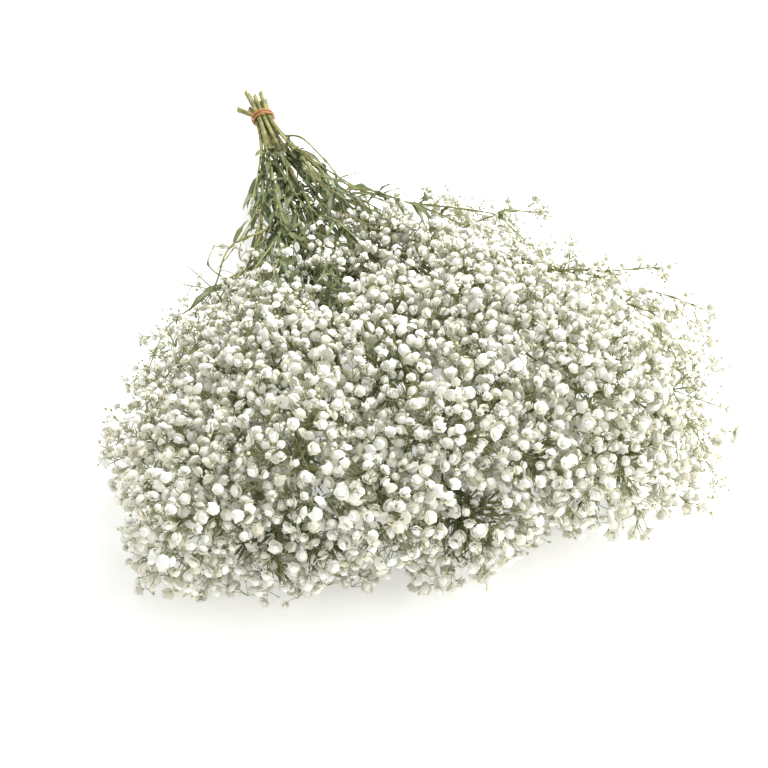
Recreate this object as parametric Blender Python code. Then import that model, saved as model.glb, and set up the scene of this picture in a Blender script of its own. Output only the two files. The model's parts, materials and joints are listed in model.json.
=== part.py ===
"""A tied bunch of gypsophila lying as picked: ten branching stems held by a wound rubber band.

Metres, +Z up. The band is near the +Y end and the stems fan out towards -Y. The skeleton is worked
out from the band's middle, and the whole bunch then hangs on an empty that moves it so that the
origin lies on the resting surface, under the middle of its box.
"""

import math
from collections import namedtuple

import bmesh
import bpy
import numpy as np

SEED = 11

# The stems, in three rows through the band. column and row place a stem in the band and in the fan,
# reach is from the band to its furthest blossoms, and pairs is its count of large leaf pairs.
Stem = namedtuple("Stem", "column row reach pairs")
STEMS = (
    Stem(-1.0, 1, 0.440, 5),
    Stem(0.0, 1, 0.440, 5),
    Stem(1.0, 1, 0.440, 3),
    Stem(-1.5, 0, 0.456, 5),
    Stem(-0.5, 0, 0.462, 5),
    Stem(0.5, 0, 0.458, 4),
    Stem(1.5, 0, 0.455, 3),
    Stem(-1.0, -1, 0.456, 3),
    Stem(0.0, -1, 0.466, 3),
    Stem(1.0, -1, 0.464, 2),
)

# Stems
FAN_STEP = 12.5  # degrees in plan between neighbouring columns
BAND_HEIGHT = 0.024  # of the band's middle above the surface
STEM_PITCH = 0.0037  # between stem centres in the band
ROW_PITCH = STEM_PITCH * math.sqrt(3) / 2
STEM_RADIUS = 0.0016
TIP_RADIUS = 0.0009
STRAIGHT = 0.0058  # each way from the band's middle, before the stems spread
STUBS = (0.006, 0.024)  # least and most length of a cut end past that
STUB_SPLAY = 0.0016  # between neighbours at the longest cut end
CUT_SLANT = 0.9
STEM_SIDES = 5
STEM_POINTS = 11
SPREAD_POWERS = (1.22, 1.0, 1.40)  # of the way along, for across, along and up

# The cloud of blossoms round each stem: an egg bent along the stem, its small end to the band.
# Its middle and its two half lengths are shares of the stem's way from the band to its tip.
CLOUD_MIDDLE = 0.80
CLOUD_BACK = 0.46
CLOUD_FRONT = 0.32
CLOUD_SIZES = (0.056, 0.043)  # half width and half height at the middle
CLOUD_TAPER = 0.40
CLOUD_LEAST = 0.2  # of the full width, however far towards the band
ROW_HEIGHTS = {1: 0.090, 0: 0.070, -1: 0.050}
DOME = 0.0055  # fall of a stem's tip for each column from the middle, times its square
TIP_SHARE = 0.885  # of a stem's reach, where its last joint is

# Sprays that stand out of the clouds: degrees from the fan's axis, reach from the band, height
OUTLIERS = (
    (-24.0, 0.205, 0.044),
    (-25.5, 0.275, 0.048),
    (-25.0, 0.350, 0.048),
    (25.0, 0.215, 0.042),
    (26.0, 0.290, 0.052),
    (24.5, 0.370, 0.060),
)
OUTLIER_SIZES = (0.034, 0.040, 0.028)

# Branches, and the joints at their ends that the florets spring from
JOINT_COUNT = 48
JOINT_DEPTH = 0.031  # under the clouds' skin
JOINT_ROUNDS = 12
SKIN_TRIES = 9000
SKIN_DEPTH = 0.88  # least depth that counts as skin
SKIN_UNDERSIDE = -0.6  # skin that faces further down than this has no joint of its own
BRANCH_RADIUS = 0.0009
BRANCH_SIDES = 3
BRANCH_POINTS = 5
BRANCH_ANGLES = (38.0, 30.0, 48.0, 22.0, 58.0, 70.0)  # degrees from the stem, best first
BRANCH_ANGLE_SLACK = 7.0
BRANCH_STEMS = 3  # how many of the nearest stems may carry a joint
BRANCH_BOW = 0.22
BRANCH_START = 0.090  # least distance from the band
BRANCH_SHORTEST = 0.012
JOINT_RADIUS = 0.0032
KNOB_STEPS = 6

# Florets, each as large as a tuft of ten or so real blossoms, so that fewer cover the cloud
FLORET_COUNT = 345
FLORET_RADIUS = 0.0122
FLORET_RISE = 0.0034
FLORET_DEPTH = 0.0056
PETALS = 5
NOTCH = 0.74  # radius between two petals, as a share of the petals' own
NOTCH_DROP = 0.0014
SPOKE_ROOM = 0.0019  # radius of the room that a petal takes
SPOKE_INSET = 0.0012
SPOKE_SINK = 0.0008
CORE_ROOM = 0.0028
CORE_TOP = 0.0006
RAY_RADIUS = 0.0008
RAY_COLLAR = 1.3  # its thickening under the floret
RAY_CROWDED = 0.009  # length over which the rays of a joint may lie close together
RAY_FOOT_RADIUS = 0.00055
RAY_APART = math.cos(math.radians(23.0))  # greatest cosine between two rays of a joint
RAY_BEND = 0.22  # least cosine between a ray and the axis of the floret on it
RAY_LENGTHS = (0.014, 0.070)
KNOB_APART = math.cos(math.radians(26.0))
RAY_BACKWARD = -0.70  # least cosine between a ray and the branch that carries it
# (least depth, greatest depth, spacing, tries), filled in turn until there are enough florets
FLORET_PASSES = (
    (0.90, 1.00, 0.0265, 2200),
    (0.86, 1.00, 0.0238, 4200),
    (0.50, 0.80, 0.0265, 1300),
    (0.82, 1.02, 0.0218, 9000),
)
UNDERSIDE = -0.45  # florets that would face further down than this are kept only for a share
UNDERSIDE_SHARE = 0.35
FLORET_JOINTS = 5  # how many of the nearest joints may carry a floret
SPRAY_REACH = 0.16  # joints further away than this have nothing in the way of a floret

# The three florets that the bunch rests on, across and along from the band, and how far across,
# along and up from each its joint lies
FEET = ((-0.112, -0.368), (0.128, -0.366), (0.004, -0.190))
FOOT_JOINTS = ((0.014, 0.024, 0.036), (-0.014, 0.024, 0.036), (0.010, -0.024, 0.030))
FOOT_EYE = 0.0034

# Leaves
LEAF_LENGTHS = (0.046, 0.028)  # the first pair and the last
BRACT_LENGTH = 0.024
LEAF_WIDTH = 0.0066
LEAF_THICKNESS = 0.0012
LEAF_FIRST = 0.052  # from the band to the first pair
LEAF_STEP = 0.031
LEAF_STAGGER = 0.012
LEAF_TURNS = 10
LEAF_TILTS = (36.0, 50.0, 24.0, 66.0)  # degrees from the stem, best first
LEAF_DROOP = 0.16
LEAF_SPLAY = 0.10
LEAF_STATIONS = ((0.14, 0.42), (0.42, 1.0), (0.74, 0.62))  # way along, share of the width

CLEARANCE = 0.0006
SEAT_GAP = 0.0003
FLOOR_GAP = 0.0008

# The rubber band, wound side by side into one body with a ridge for each turn
BAND_TURNS = 3
BAND_WIDTH = 0.0021  # of one turn
BAND_THICKNESS = 0.0016
BAND_GROOVE = 0.0007
BAND_SLANT = 0.0010
BAND_POINTS = 24

# Colour, roughness
FINISHES = {
    "green stem": ((0.235, 0.300, 0.125, 1.0), 0.55),
    "white blossom": ((0.880, 0.870, 0.810, 1.0), 0.60),
    "tan rubber": ((0.540, 0.270, 0.110, 1.0), 0.45),
}


def unit(v):
    return v / np.linalg.norm(v)


def turned(angle, reach, height):
    """A point at that angle from the fan's axis in plan, in degrees, and that far from the band."""
    turn = math.radians(angle)
    return np.array([math.sin(turn) * reach, -math.cos(turn) * reach, height])


# The skeleton


def stem_ends(stem):
    """Where a stem leaves the band, and its tip."""
    middle = np.array([stem.column * STEM_PITCH, 0.0, BAND_HEIGHT + stem.row * ROW_PITCH])
    height = ROW_HEIGHTS[stem.row] - DOME * stem.column**2
    tip = turned(stem.column * FAN_STEP, stem.reach * TIP_SHARE, height)
    return middle - [0, STRAIGHT, 0], tip


def cloud_depths(points):
    """(depth, outward way) of each point: depth is 0 in the middle of its cloud, 1 on the skin."""
    best = np.full(len(points), np.inf)
    outward = np.zeros((len(points), 3))
    for stem in STEMS:
        start, tip = stem_ends(stem)
        way = np.maximum((points[:, 1] - start[1]) / (tip[1] - start[1]), 0.01)
        centre = start + (tip - start) * way[:, None] ** SPREAD_POWERS
        length = np.where(way > CLOUD_MIDDLE, CLOUD_FRONT, CLOUD_BACK)
        along = (way - CLOUD_MIDDLE) / length
        swell = np.maximum(1 + CLOUD_TAPER * along, CLOUD_LEAST)
        width, height = (size * swell for size in CLOUD_SIZES)
        local = np.stack([points[:, 0] - centre[:, 0], along, points[:, 2] - centre[:, 2]], axis=1)
        local[:, 0] /= width
        local[:, 2] /= height
        depth = np.sqrt((local**2).sum(1))
        slope = local / np.stack([width, (tip[1] - start[1]) * length, height], axis=1)
        nearer = depth < best
        best[nearer], outward[nearer] = depth[nearer], slope[nearer]
    for spot in OUTLIERS:
        local = (points - turned(*spot)) / OUTLIER_SIZES
        depth = np.sqrt((local**2).sum(1))
        nearer = depth < best
        best[nearer], outward[nearer] = depth[nearer], (local / OUTLIER_SIZES)[nearer]
    outward /= np.sqrt((outward**2).sum(1))[:, None] + 1e-9
    return best, outward


def points_in_clouds(rng, count, stretch=1.0):
    """Points spread through the clouds, up to that depth."""
    ball = rng.normal(size=(count, 3))
    ball *= stretch * (rng.random(count) ** (1 / 3) / np.sqrt((ball**2).sum(1)))[:, None]
    which = rng.integers(2 * len(STEMS) + 1, size=count) // 2
    spots = rng.integers(len(OUTLIERS), size=count)
    points = np.array([turned(*OUTLIERS[spot]) for spot in spots]) + ball * OUTLIER_SIZES
    for number, stem in enumerate(STEMS):
        own = which == number
        start, tip = stem_ends(stem)
        along = ball[own, 1]
        way = CLOUD_MIDDLE + along * np.where(along > 0, CLOUD_FRONT, CLOUD_BACK)
        swell = 1 + CLOUD_TAPER * along
        points[own] = start + (tip - start) * way[:, None] ** SPREAD_POWERS
        points[own, 0] += ball[own, 0] * CLOUD_SIZES[0] * swell
        points[own, 2] += ball[own, 2] * CLOUD_SIZES[1] * swell
    return points


def stem_path(stem, stub):
    """A stem's centreline from its cut end, straight through the band, to its last joint.

    Every stem spreads by the same powers of the way along it, so no two cross."""
    start, tip = stem_ends(stem)
    way = np.linspace(0, 1, STEM_POINTS)[:, None]
    outward = start + (tip - start) * way**SPREAD_POWERS
    behind = start + [0, 2 * STRAIGHT, 0]
    splay = STUB_SPLAY * stub / STUBS[1]
    cut = behind + [stem.column * splay, stub, stem.row * splay]
    return np.vstack([cut, behind, outward])


def stem_radii(path):
    """A stem's radius at each point of its centreline, thinning evenly from the band to its tip."""
    way = np.clip(path[:, 1] / path[-1, 1], 0, 1)
    return STEM_RADIUS + (TIP_RADIUS - STEM_RADIUS) * way


def rod_gaps(a0, a1, b0, b1):
    """The distance between each line a0-a1 and each line b0-b1, as a table."""
    d1, d2 = (a1 - a0)[:, None], (b1 - b0)[None]
    r = a0[:, None] - b0[None]
    tiny = 1e-12
    a = np.maximum((d1 * d1).sum(-1), tiny)
    e = np.maximum((d2 * d2).sum(-1), tiny)
    b, c, f = (d1 * d2).sum(-1), (d1 * r).sum(-1), (d2 * r).sum(-1)
    s = np.clip((b * f - c * e) / np.maximum(a * e - b * b, tiny), 0, 1)
    t = np.clip((b * s + f) / e, 0, 1)
    s = np.clip((b * t - c) / a, 0, 1)
    apart = r + d1 * s[..., None] - d2 * t[..., None]
    return np.sqrt((apart**2).sum(-1))


class Rods:
    """Lines with a radius each, which stand for the room that pieces take up."""

    def __init__(self, starts=(), ends=(), radii=()):
        self.starts = np.array(starts, float).reshape(-1, 3)
        self.ends = np.array(ends, float).reshape(-1, 3)
        self.radii = np.array(radii, float).reshape(-1)

    def joined(self, other):
        starts, ends = np.vstack([self.starts, other.starts]), np.vstack([self.ends, other.ends])
        return Rods(starts, ends, np.append(self.radii, other.radii))

    def clear_of(self, other):
        """True if all of these keep the clearance to all of the others."""
        if not len(self.radii) or not len(other.radii):
            return True
        low = np.minimum(self.starts, self.ends).min(axis=0)
        high = np.maximum(self.starts, self.ends).max(axis=0)
        reach = (other.radii + self.radii.max() + CLEARANCE)[:, None]
        near = (np.minimum(other.starts, other.ends) < high + reach).all(axis=1)
        near &= (np.maximum(other.starts, other.ends) > low - reach).all(axis=1)
        if not near.any():
            return True
        gaps = rod_gaps(self.starts, self.ends, other.starts[near], other.ends[near])
        return bool((gaps > self.radii[:, None] + other.radii[near] + CLEARANCE).all())


def line_rods(points, radii):
    """The rods of a line of points, each as thick as the thicker of its ends."""
    radii = np.broadcast_to(radii, len(points))
    return Rods(points[:-1], points[1:], np.maximum(radii[:-1], radii[1:]))


def choose_joints(rng, tips):
    """The joints, each under the middle of its share of the clouds' skin.

    Those at stem tips, over the feet and in the outliers are given. The others start on the skin and
    move a few times to the middle of the skin points that are nearest them, sunk by JOINT_DEPTH."""
    over_feet = [np.array([*foot, 0.0]) + offset for foot, offset in zip(FEET, FOOT_JOINTS)]
    given = list(tips) + over_feet + [turned(*spot) for spot in OUTLIERS]
    skin = points_in_clouds(rng, SKIN_TRIES)
    depths, outward = cloud_depths(skin)
    on_skin = (depths > SKIN_DEPTH) & (outward[:, 2] > SKIN_UNDERSIDE)
    skin, outward = skin[on_skin], outward[on_skin]
    joints = np.array(given)
    while len(joints) < JOINT_COUNT:
        gaps = np.sqrt(((skin[:, None] - joints[None]) ** 2).sum(-1)).min(axis=1)
        joints = np.vstack([joints, skin[gaps.argmax()]])
    for _ in range(JOINT_ROUNDS):
        owner = ((skin[:, None] - joints[None]) ** 2).sum(-1).argmin(axis=1)
        for number in range(len(given), len(joints)):
            own = owner == number
            if own.any():
                joints[number] = (skin[own] - outward[own] * JOINT_DEPTH).mean(axis=0)
    return list(joints)


def fine_line(path, count=160):
    """(points, unit ways) at even steps along a line of points."""
    lengths = np.append(0, np.cumsum(np.sqrt((np.diff(path, axis=0) ** 2).sum(1))))
    steps = np.linspace(0, lengths[-1], count)
    points = np.stack([np.interp(steps, lengths, path[:, axis]) for axis in range(3)], axis=1)
    ways = np.gradient(points, axis=0)
    return points, ways / np.sqrt((ways**2).sum(1))[:, None]


def branch_path(path, joint, angle):
    """A bowed branch that leaves a stem at about that angle and ends at the joint, or None."""
    spots, ways = fine_line(path[1:])
    to_joint = joint - spots
    gaps = np.sqrt((to_joint**2).sum(1))
    leans = np.degrees(np.arccos(np.clip((to_joint * ways).sum(1) / gaps, -1, 1)))
    leans[-spots[:, 1] < BRANCH_START] = np.inf
    leans[gaps < BRANCH_SHORTEST] = np.inf
    pick = np.abs(leans - angle).argmin()
    if not abs(leans[pick] - angle) < BRANCH_ANGLE_SLACK:
        return None
    start, way = spots[pick], ways[pick]
    across = to_joint[pick] - way * np.dot(to_joint[pick], way)
    bend = (start + joint) / 2 + across * BRANCH_BOW
    steps = np.linspace(0, 1, BRANCH_POINTS)[:, None]
    return (1 - steps) ** 2 * start + 2 * steps * (1 - steps) * bend + steps**2 * joint


def shortened(path, cut):
    """The same line with its end drawn back by that length."""
    return np.vstack([path[:-1], path[-1] - unit(path[-1] - path[-2]) * cut])


def knob_rods(joints):
    """The room that the knobs at those joints take."""
    return Rods(joints, joints, np.full(len(joints), JOINT_RADIUS))


def off_the_stems(greens, joint):
    """The joint, moved up or down by as little as leaves room for its knob beside the stems."""
    for step in range(KNOB_STEPS):
        for sign in (1, -1):
            moved = joint + [0, 0, sign * step * JOINT_RADIUS]
            if all(knob_rods([moved]).clear_of(green) for green in greens):
                return moved
    return joint


def find_branch(greens, knobs, paths, joint):
    """(stem number, branch) for the nearest stem that can send a clear branch to the joint."""
    gaps = [np.sqrt(((fine_line(path[1:], 40)[0] - joint) ** 2).sum(1)).min() for path in paths]
    for angle in BRANCH_ANGLES:
        for number in np.argsort(gaps)[:BRANCH_STEMS]:
            branch = branch_path(paths[number], joint, angle)
            if branch is None:
                continue
            rods = line_rods(shortened(branch, JOINT_RADIUS), BRANCH_RADIUS)
            others = [green for other, green in enumerate(greens) if other != number]
            if all(rods.clear_of(other) for other in others + [knobs]):
                return int(number), branch
    return None


def leaf_path(start, way, outward, length):
    """A leaf's midrib: straight out, then arched over by its own weight."""
    steps = np.linspace(0, 1, 5)[:, None]
    droop = outward * LEAF_SPLAY - np.array([0, 0, LEAF_DROOP])
    return start + length * (steps * way + steps**2 * droop)


def grow_leaf(greens, knobs, number, spot, way, turn, length):
    """The first of a few tilts of a leaf, on that side of the stem, that is clear, or None."""
    side = unit(np.cross(way, [0, 0, 1.0]))
    outward = side * math.cos(turn) + np.cross(side, way) * math.sin(turn)
    for tilt in np.radians(LEAF_TILTS):
        path = leaf_path(spot, way * math.cos(tilt) + outward * math.sin(tilt), outward, length)
        if path[:, 2].min() < LEAF_WIDTH:
            continue
        rods = line_rods(path, LEAF_WIDTH * 0.5)
        others = [green for other, green in enumerate(greens) if other != number] + [knobs]
        if all(rods.clear_of(other) for other in others):
            own = Rods(rods.starts[1:], rods.ends[1:], rods.radii[1:])
            if own.clear_of(greens[number]):
                return path, rods
    return None


def grow_leaves(rng, greens, knobs, paths, branches):
    """[(stem number, midrib)] of the leaf pairs on the stems and of one bract at each branch."""
    leaves = []
    plans = []
    for number, (stem, path) in enumerate(zip(STEMS, paths)):
        spots, ways = fine_line(path[2:])
        for pair in range(stem.pairs):
            away = LEAF_FIRST + pair * LEAF_STEP + rng.uniform(0, LEAF_STAGGER)
            pick = np.abs(-spots[:, 1] - away).argmin()
            length = np.interp(pair, (0, max(stem.pairs - 1, 1)), LEAF_LENGTHS)
            first = rng.integers(LEAF_TURNS)
            plans += [(number, spots[pick], ways[pick], first, length)]
            plans += [(number, spots[pick], ways[pick], first + LEAF_TURNS // 2, length)]
    for number, branch in branches:
        way = unit(branch[1] - branch[0])
        plans.append((number, branch[0] + way * STEM_RADIUS, way, rng.integers(LEAF_TURNS), BRACT_LENGTH))
    for number, spot, way, first, length in plans:
        for step in (0, 1, -1, 2, -2, 3, -3):
            turn = 2 * math.pi * (first + step) / LEAF_TURNS
            found = grow_leaf(greens, knobs, number, spot, way, turn, length)
            if found:
                leaves.append((number, found[0]))
                greens[number] = greens[number].joined(found[1])
                break
    return leaves


def floret_frame(axis, turn):
    """Three unit ways as rows: two across the floret, turned by that angle, and its axis."""
    first = unit(np.cross(axis, np.eye(3)[np.abs(axis).argmin()]))
    second = np.cross(axis, first)
    across = first * math.cos(turn) + second * math.sin(turn)
    return np.array([across, np.cross(axis, across), axis])


def rim_shape():
    """The floret's rim in its own frame: petal tips and, between them, the lower notches."""
    angles = np.arange(2 * PETALS) * math.pi / PETALS
    radii = np.where(np.arange(2 * PETALS) % 2, NOTCH, 1.0) * FLORET_RADIUS
    drops = np.where(np.arange(2 * PETALS) % 2, -NOTCH_DROP, 0.0)
    return np.stack([radii * np.cos(angles), radii * np.sin(angles), drops], axis=1)


def floret_shape():
    """The floret's rim and its top."""
    return np.vstack([rim_shape(), [0, 0, FLORET_RISE]])


def floret_rods(centre, frame):
    """The room that a floret takes: a spoke to each point of its rim, and its core."""
    rim = rim_shape()
    rim *= 1 - SPOKE_INSET / np.sqrt((rim**2).sum(1))[:, None]
    spokes = (rim - [0, 0, SPOKE_SINK]) @ frame
    core = np.array([[0, 0, -FLORET_DEPTH], [0, 0, CORE_TOP]]) @ frame
    starts = np.vstack([np.tile(centre - frame[2] * SPOKE_SINK, (len(rim), 1)), centre + core[:1]])
    radii = np.append(np.full(len(rim), SPOKE_ROOM), CORE_ROOM)
    return Rods(starts, centre + np.vstack([spokes, core[1:]]), radii)


class Spray:
    """A joint with the way its branch comes in, and the florets on their rays."""

    def __init__(self, joint, way):
        self.joint, self.way = joint, way
        self.florets = []
        self.rays = np.zeros((0, 3))
        self.near, self.far = Rods(), Rods()

    def try_floret(self, centre, frame, others, is_foot=False):
        """Adds a floret with its ray if nothing is in the way, and says whether it did."""
        base = centre - frame[2] * FLORET_DEPTH
        ray = base - self.joint
        length = np.linalg.norm(ray)
        if not RAY_LENGTHS[0] < length < RAY_LENGTHS[1]:
            return False
        ray /= length
        if np.dot(ray, self.way) < RAY_BACKWARD or np.dot(ray, frame[2]) < RAY_BEND:
            return False
        if (self.rays @ ray > RAY_APART).any():
            return False
        if not is_foot and (centre + floret_shape() @ frame)[:, 2].min() < FLOOR_GAP:
            return False
        bend = self.joint + ray * RAY_CROWDED
        near = Rods([self.joint], [bend], [RAY_RADIUS])
        far = Rods([bend], [base], [RAY_RADIUS]).joined(floret_rods(centre, frame))
        whole = near.joined(far)
        if not all(whole.clear_of(other) for other in others) or not far.clear_of(self.far):
            return False
        self.florets.append((centre, frame, is_foot))
        self.rays = np.vstack([self.rays, ray])
        self.near, self.far = self.near.joined(near), self.far.joined(far)
        return True


def fill_florets(rng, greens, sprays):
    """Florets on all the sprays: the three feet, then the skin of the clouds, then their insides."""
    joints = np.array([spray.joint for spray in sprays])
    hubs = [knob_rods([joint]) for joint in joints]
    centres = []

    def place(centre, axis, turn, is_foot=False):
        gaps = np.sqrt(((joints - centre) ** 2).sum(1))
        for number in gaps.argsort()[:FLORET_JOINTS]:
            spray = sprays[number]
            others = list(greens)
            for index, other in enumerate(sprays):
                if index != number and gaps[index] < SPRAY_REACH:
                    others += [other.far, other.near, hubs[index]]
            towards = unit(centre - spray.joint)
            lean = axis if is_foot else unit(axis + towards)
            if spray.try_floret(centre, floret_frame(lean, turn), others, is_foot):
                centres.append(centre)
                return True
        return False

    for foot in FEET:
        place(np.array([*foot, FLORET_RISE]), np.array([0, 0, -1.0]), 0.0, True)
    for least, most, spacing, tries in FLORET_PASSES:
        points = points_in_clouds(rng, 6 * tries, most)
        depths, outward = cloud_depths(points)
        turns = rng.uniform(0, 2 * math.pi / PETALS, len(points))
        chances = rng.random(len(points))
        keep = (depths > least) & (depths < most) & (points[:, 2] > FLORET_RISE + FLOOR_GAP)
        keep &= (outward[:, 2] > UNDERSIDE) | (chances < UNDERSIDE_SHARE)
        for index in np.flatnonzero(keep)[:tries]:
            if len(centres) >= FLORET_COUNT:
                return
            gaps = ((np.array(centres) - points[index]) ** 2).sum(1)
            if gaps.min() > spacing**2:
                place(points[index], outward[index], turns[index])


def grow():
    """The whole skeleton from one seed: stem paths, branches, leaves and sprays."""
    rng = np.random.default_rng(SEED)
    stubs = rng.permutation(np.linspace(*STUBS, len(STEMS)))
    paths = [stem_path(stem, stub) for stem, stub in zip(STEMS, stubs)]
    joints = choose_joints(rng, [path[-1] for path in paths])
    paths = [shortened(path, JOINT_RADIUS + SEAT_GAP) for path in paths]
    greens = [line_rods(path, stem_radii(path)) for path in paths]
    sprays = [Spray(joint, unit(path[-1] - path[-2])) for joint, path in zip(joints, paths)]
    branches = []
    joints[len(STEMS) :] = [off_the_stems(greens, joint) for joint in joints[len(STEMS) :]]
    for index, joint in enumerate(joints[len(STEMS) :], len(STEMS)):
        knobs = knob_rods(joints[:index] + joints[index + 1 :])
        found = find_branch(greens, knobs, paths, joint)
        if not found:
            continue
        number, branch = found
        sprays.append(Spray(joint, unit(branch[-1] - branch[-2])))
        branch = shortened(branch, JOINT_RADIUS + SEAT_GAP)
        branches.append((number, branch))
        greens[number] = greens[number].joined(line_rods(branch, BRANCH_RADIUS))
    knobs = knob_rods([spray.joint for spray in sprays])
    leaves = grow_leaves(rng, greens, knobs, paths, branches)
    fill_florets(rng, greens, sprays)
    return paths, branches, leaves, [spray for spray in sprays if spray.florets]


# The solids


def make_object(name, points, faces, origin=(0, 0, 0)):
    """An object whose mesh holds those points less its origin, which becomes its location."""
    mesh = bpy.data.meshes.new(name)
    mesh.from_pydata((np.asarray(points) - origin).tolist(), [], faces)
    thing = bpy.data.objects.new(name, mesh)
    thing.location = origin
    bpy.context.scene.collection.objects.link(thing)
    return thing


def finish(name):
    """The named finish as a Principled material."""
    material = bpy.data.materials.get(name)
    if material is None:
        colour, roughness = FINISHES[name]
        material = bpy.data.materials.new(name)
        material.use_nodes = True
        shader = material.node_tree.nodes["Principled BSDF"]
        shader.inputs["Base Color"].default_value = colour
        shader.inputs["Roughness"].default_value = roughness
        shader.inputs["Metallic"].default_value = 0.0
    return material


def fused(pieces, finish_name):
    """The first piece with all the others joined to it as one body, in that finish."""
    base = pieces[0]
    if len(pieces) > 1:
        group = bpy.data.collections.new(base.name + "_pieces")
        for piece in pieces[1:]:
            bpy.context.scene.collection.objects.unlink(piece)
            group.objects.link(piece)
        bpy.context.view_layer.update()
        union = base.modifiers.new("union", "BOOLEAN")
        union.operation = "UNION"
        union.operand_type = "COLLECTION"
        union.collection = group
        union.solver = "MANIFOLD"
        whole = base.evaluated_get(bpy.context.evaluated_depsgraph_get())
        mesh = bpy.data.meshes.new_from_object(whole)
        base.modifiers.clear()
        base.data = mesh
        for piece in pieces[1:]:
            bpy.data.objects.remove(piece)
        bpy.data.collections.remove(group)
    base.data.materials.clear()
    base.data.materials.append(finish(finish_name))
    return base


def tube_rings(path, radii, sides):
    """The rings of points round a line, as a table by ring and side."""
    ways = np.gradient(path, axis=0)
    ways /= np.sqrt((ways**2).sum(1))[:, None]
    aside = np.eye(3)[np.abs(path[-1] - path[0]).argmin()]
    first = np.cross(ways, aside)
    first /= np.sqrt((first**2).sum(1))[:, None]
    second = np.cross(ways, first)
    angles = (np.arange(sides) * 2 * math.pi / sides)[None, :, None]
    circle = np.cos(angles) * first[:, None] + np.sin(angles) * second[:, None]
    return path[:, None] + circle * np.broadcast_to(radii, len(path))[:, None, None]


def tube_faces(rings, sides):
    """Quads between the rings and a cap on each end, all facing outwards."""
    faces = [tuple(range(sides))[::-1]]
    for ring in range(rings - 1):
        for side in range(sides):
            a, b = ring * sides + side, ring * sides + (side + 1) % sides
            faces.append((a, b, b + sides, a + sides))
    faces.append(tuple(range((rings - 1) * sides, rings * sides)))
    return faces


def tube(name, path, radii, sides, origin=(0, 0, 0), cut_slant=0.0):
    """A closed rod along a line of points, its first end cut on a slant."""
    rings = tube_rings(path, radii, sides)
    start = unit(path[0] - path[1])
    rings[0] += start * ((rings[0] - path[0])[:, :1] * cut_slant)
    return make_object(name, rings.reshape(-1, 3), tube_faces(len(path), sides), origin)


def leaf(name, path, origin):
    """A lance-shaped blade: a thin diamond section, widest before its middle, pointed at both ends."""
    ways = np.gradient(path, axis=0)
    across = np.cross(ways, [0, 0, 1.0])
    across /= np.sqrt((across**2).sum(1))[:, None]
    up = np.cross(across, ways)
    up /= np.sqrt((up**2).sum(1))[:, None]
    steps = np.linspace(0, 1, len(path))
    points = [path[0]]
    for way, share in LEAF_STATIONS:
        middle, side, rise = (
            np.array([np.interp(way, steps, row[:, axis]) for axis in range(3)])
            for row in (path, across, up)
        )
        half = side * LEAF_WIDTH / 2 * share
        lift = rise * LEAF_THICKNESS / 2
        points += [middle - half, middle + lift, middle + half, middle - lift]
    points.append(path[-1])
    last = len(points) - 1
    faces = []
    for side in range(4):
        after = (side + 1) % 4
        faces.append((0, 1 + after, 1 + side))
        for station in range(len(LEAF_STATIONS) - 1):
            a, b = 1 + 4 * station + side, 1 + 4 * station + after
            faces += [(a, b, b + 4), (a, b + 4, a + 4)]
        faces.append((last - 4 + side, last - 4 + after, last))
    return make_object(name, points, faces, origin)


def floret_shell(joint, centre, frame, is_foot):
    """(points, faces) of a floret on its ray, open where the ray starts.

    A five-petalled dome over a cone that runs down into a three-sided ray. The ray's first three
    points lie on the ball round the joint."""
    base = centre - frame[2] * FLORET_DEPTH
    ray = unit(base - joint)
    first = unit(frame[0] - ray * np.dot(frame[0], ray))
    second = np.cross(ray, first)
    spokes = np.arange(3) * 2 * math.pi / 3
    ring = np.cos(spokes)[:, None] * first + np.sin(spokes)[:, None] * second
    collar = np.cos(spokes)[:, None] * frame[0] + np.sin(spokes)[:, None] * frame[1]
    sunk = math.sqrt(JOINT_RADIUS**2 - RAY_FOOT_RADIUS**2)
    start = joint + ray * sunk + ring * RAY_FOOT_RADIUS
    points = [start, base + collar * RAY_RADIUS * RAY_COLLAR, centre + rim_shape() @ frame]
    faces = [(side, (side + 1) % 3, 3 + (side + 1) % 3, 3 + side) for side in range(3)]
    count = 2 * PETALS
    for spot in range(count):
        after = (spot + 1) % count
        low, low_after = (3 + round(step * 3 / count) % 3 for step in (spot, spot + 1))
        faces.append((low, 6 + after, 6 + spot))
        if low != low_after:
            faces.append((low, low_after, 6 + after))
    top = 6 + count
    if is_foot:
        angles = np.arange(PETALS) * 2 * math.pi / PETALS
        eye = np.stack([np.cos(angles), np.sin(angles), 0 * angles], axis=1) * FOOT_EYE
        points.append(centre + (eye + [0, 0, FLORET_RISE]) @ frame)
        for petal in range(PETALS):
            after = (petal + 1) % PETALS
            tip, notch, tip_after = 6 + 2 * petal, 7 + 2 * petal, 6 + 2 * after
            faces += [(tip, notch, top + petal), (notch, tip_after, top + after)]
            faces.append((notch, top + after, top + petal))
        faces.append(tuple(range(top, top + PETALS)))
    else:
        points.append(centre[None] + frame[2:] * FLORET_RISE)
        faces += [(6 + spot, 6 + (spot + 1) % count, top) for spot in range(count)]
    return np.vstack(points), faces


def knob_points(spray):
    """The points of the joint's knob besides the rays' own: one to the branch, others in the gaps."""
    frame = floret_frame(spray.way, 0.0)
    ways = [-frame[2]]
    for way in (frame[0], frame[1], -frame[0], -frame[1], frame[2]):
        if (spray.rays @ way < KNOB_APART).all():
            ways.append(way)
    return spray.joint + np.array(ways) * JOINT_RADIUS


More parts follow.
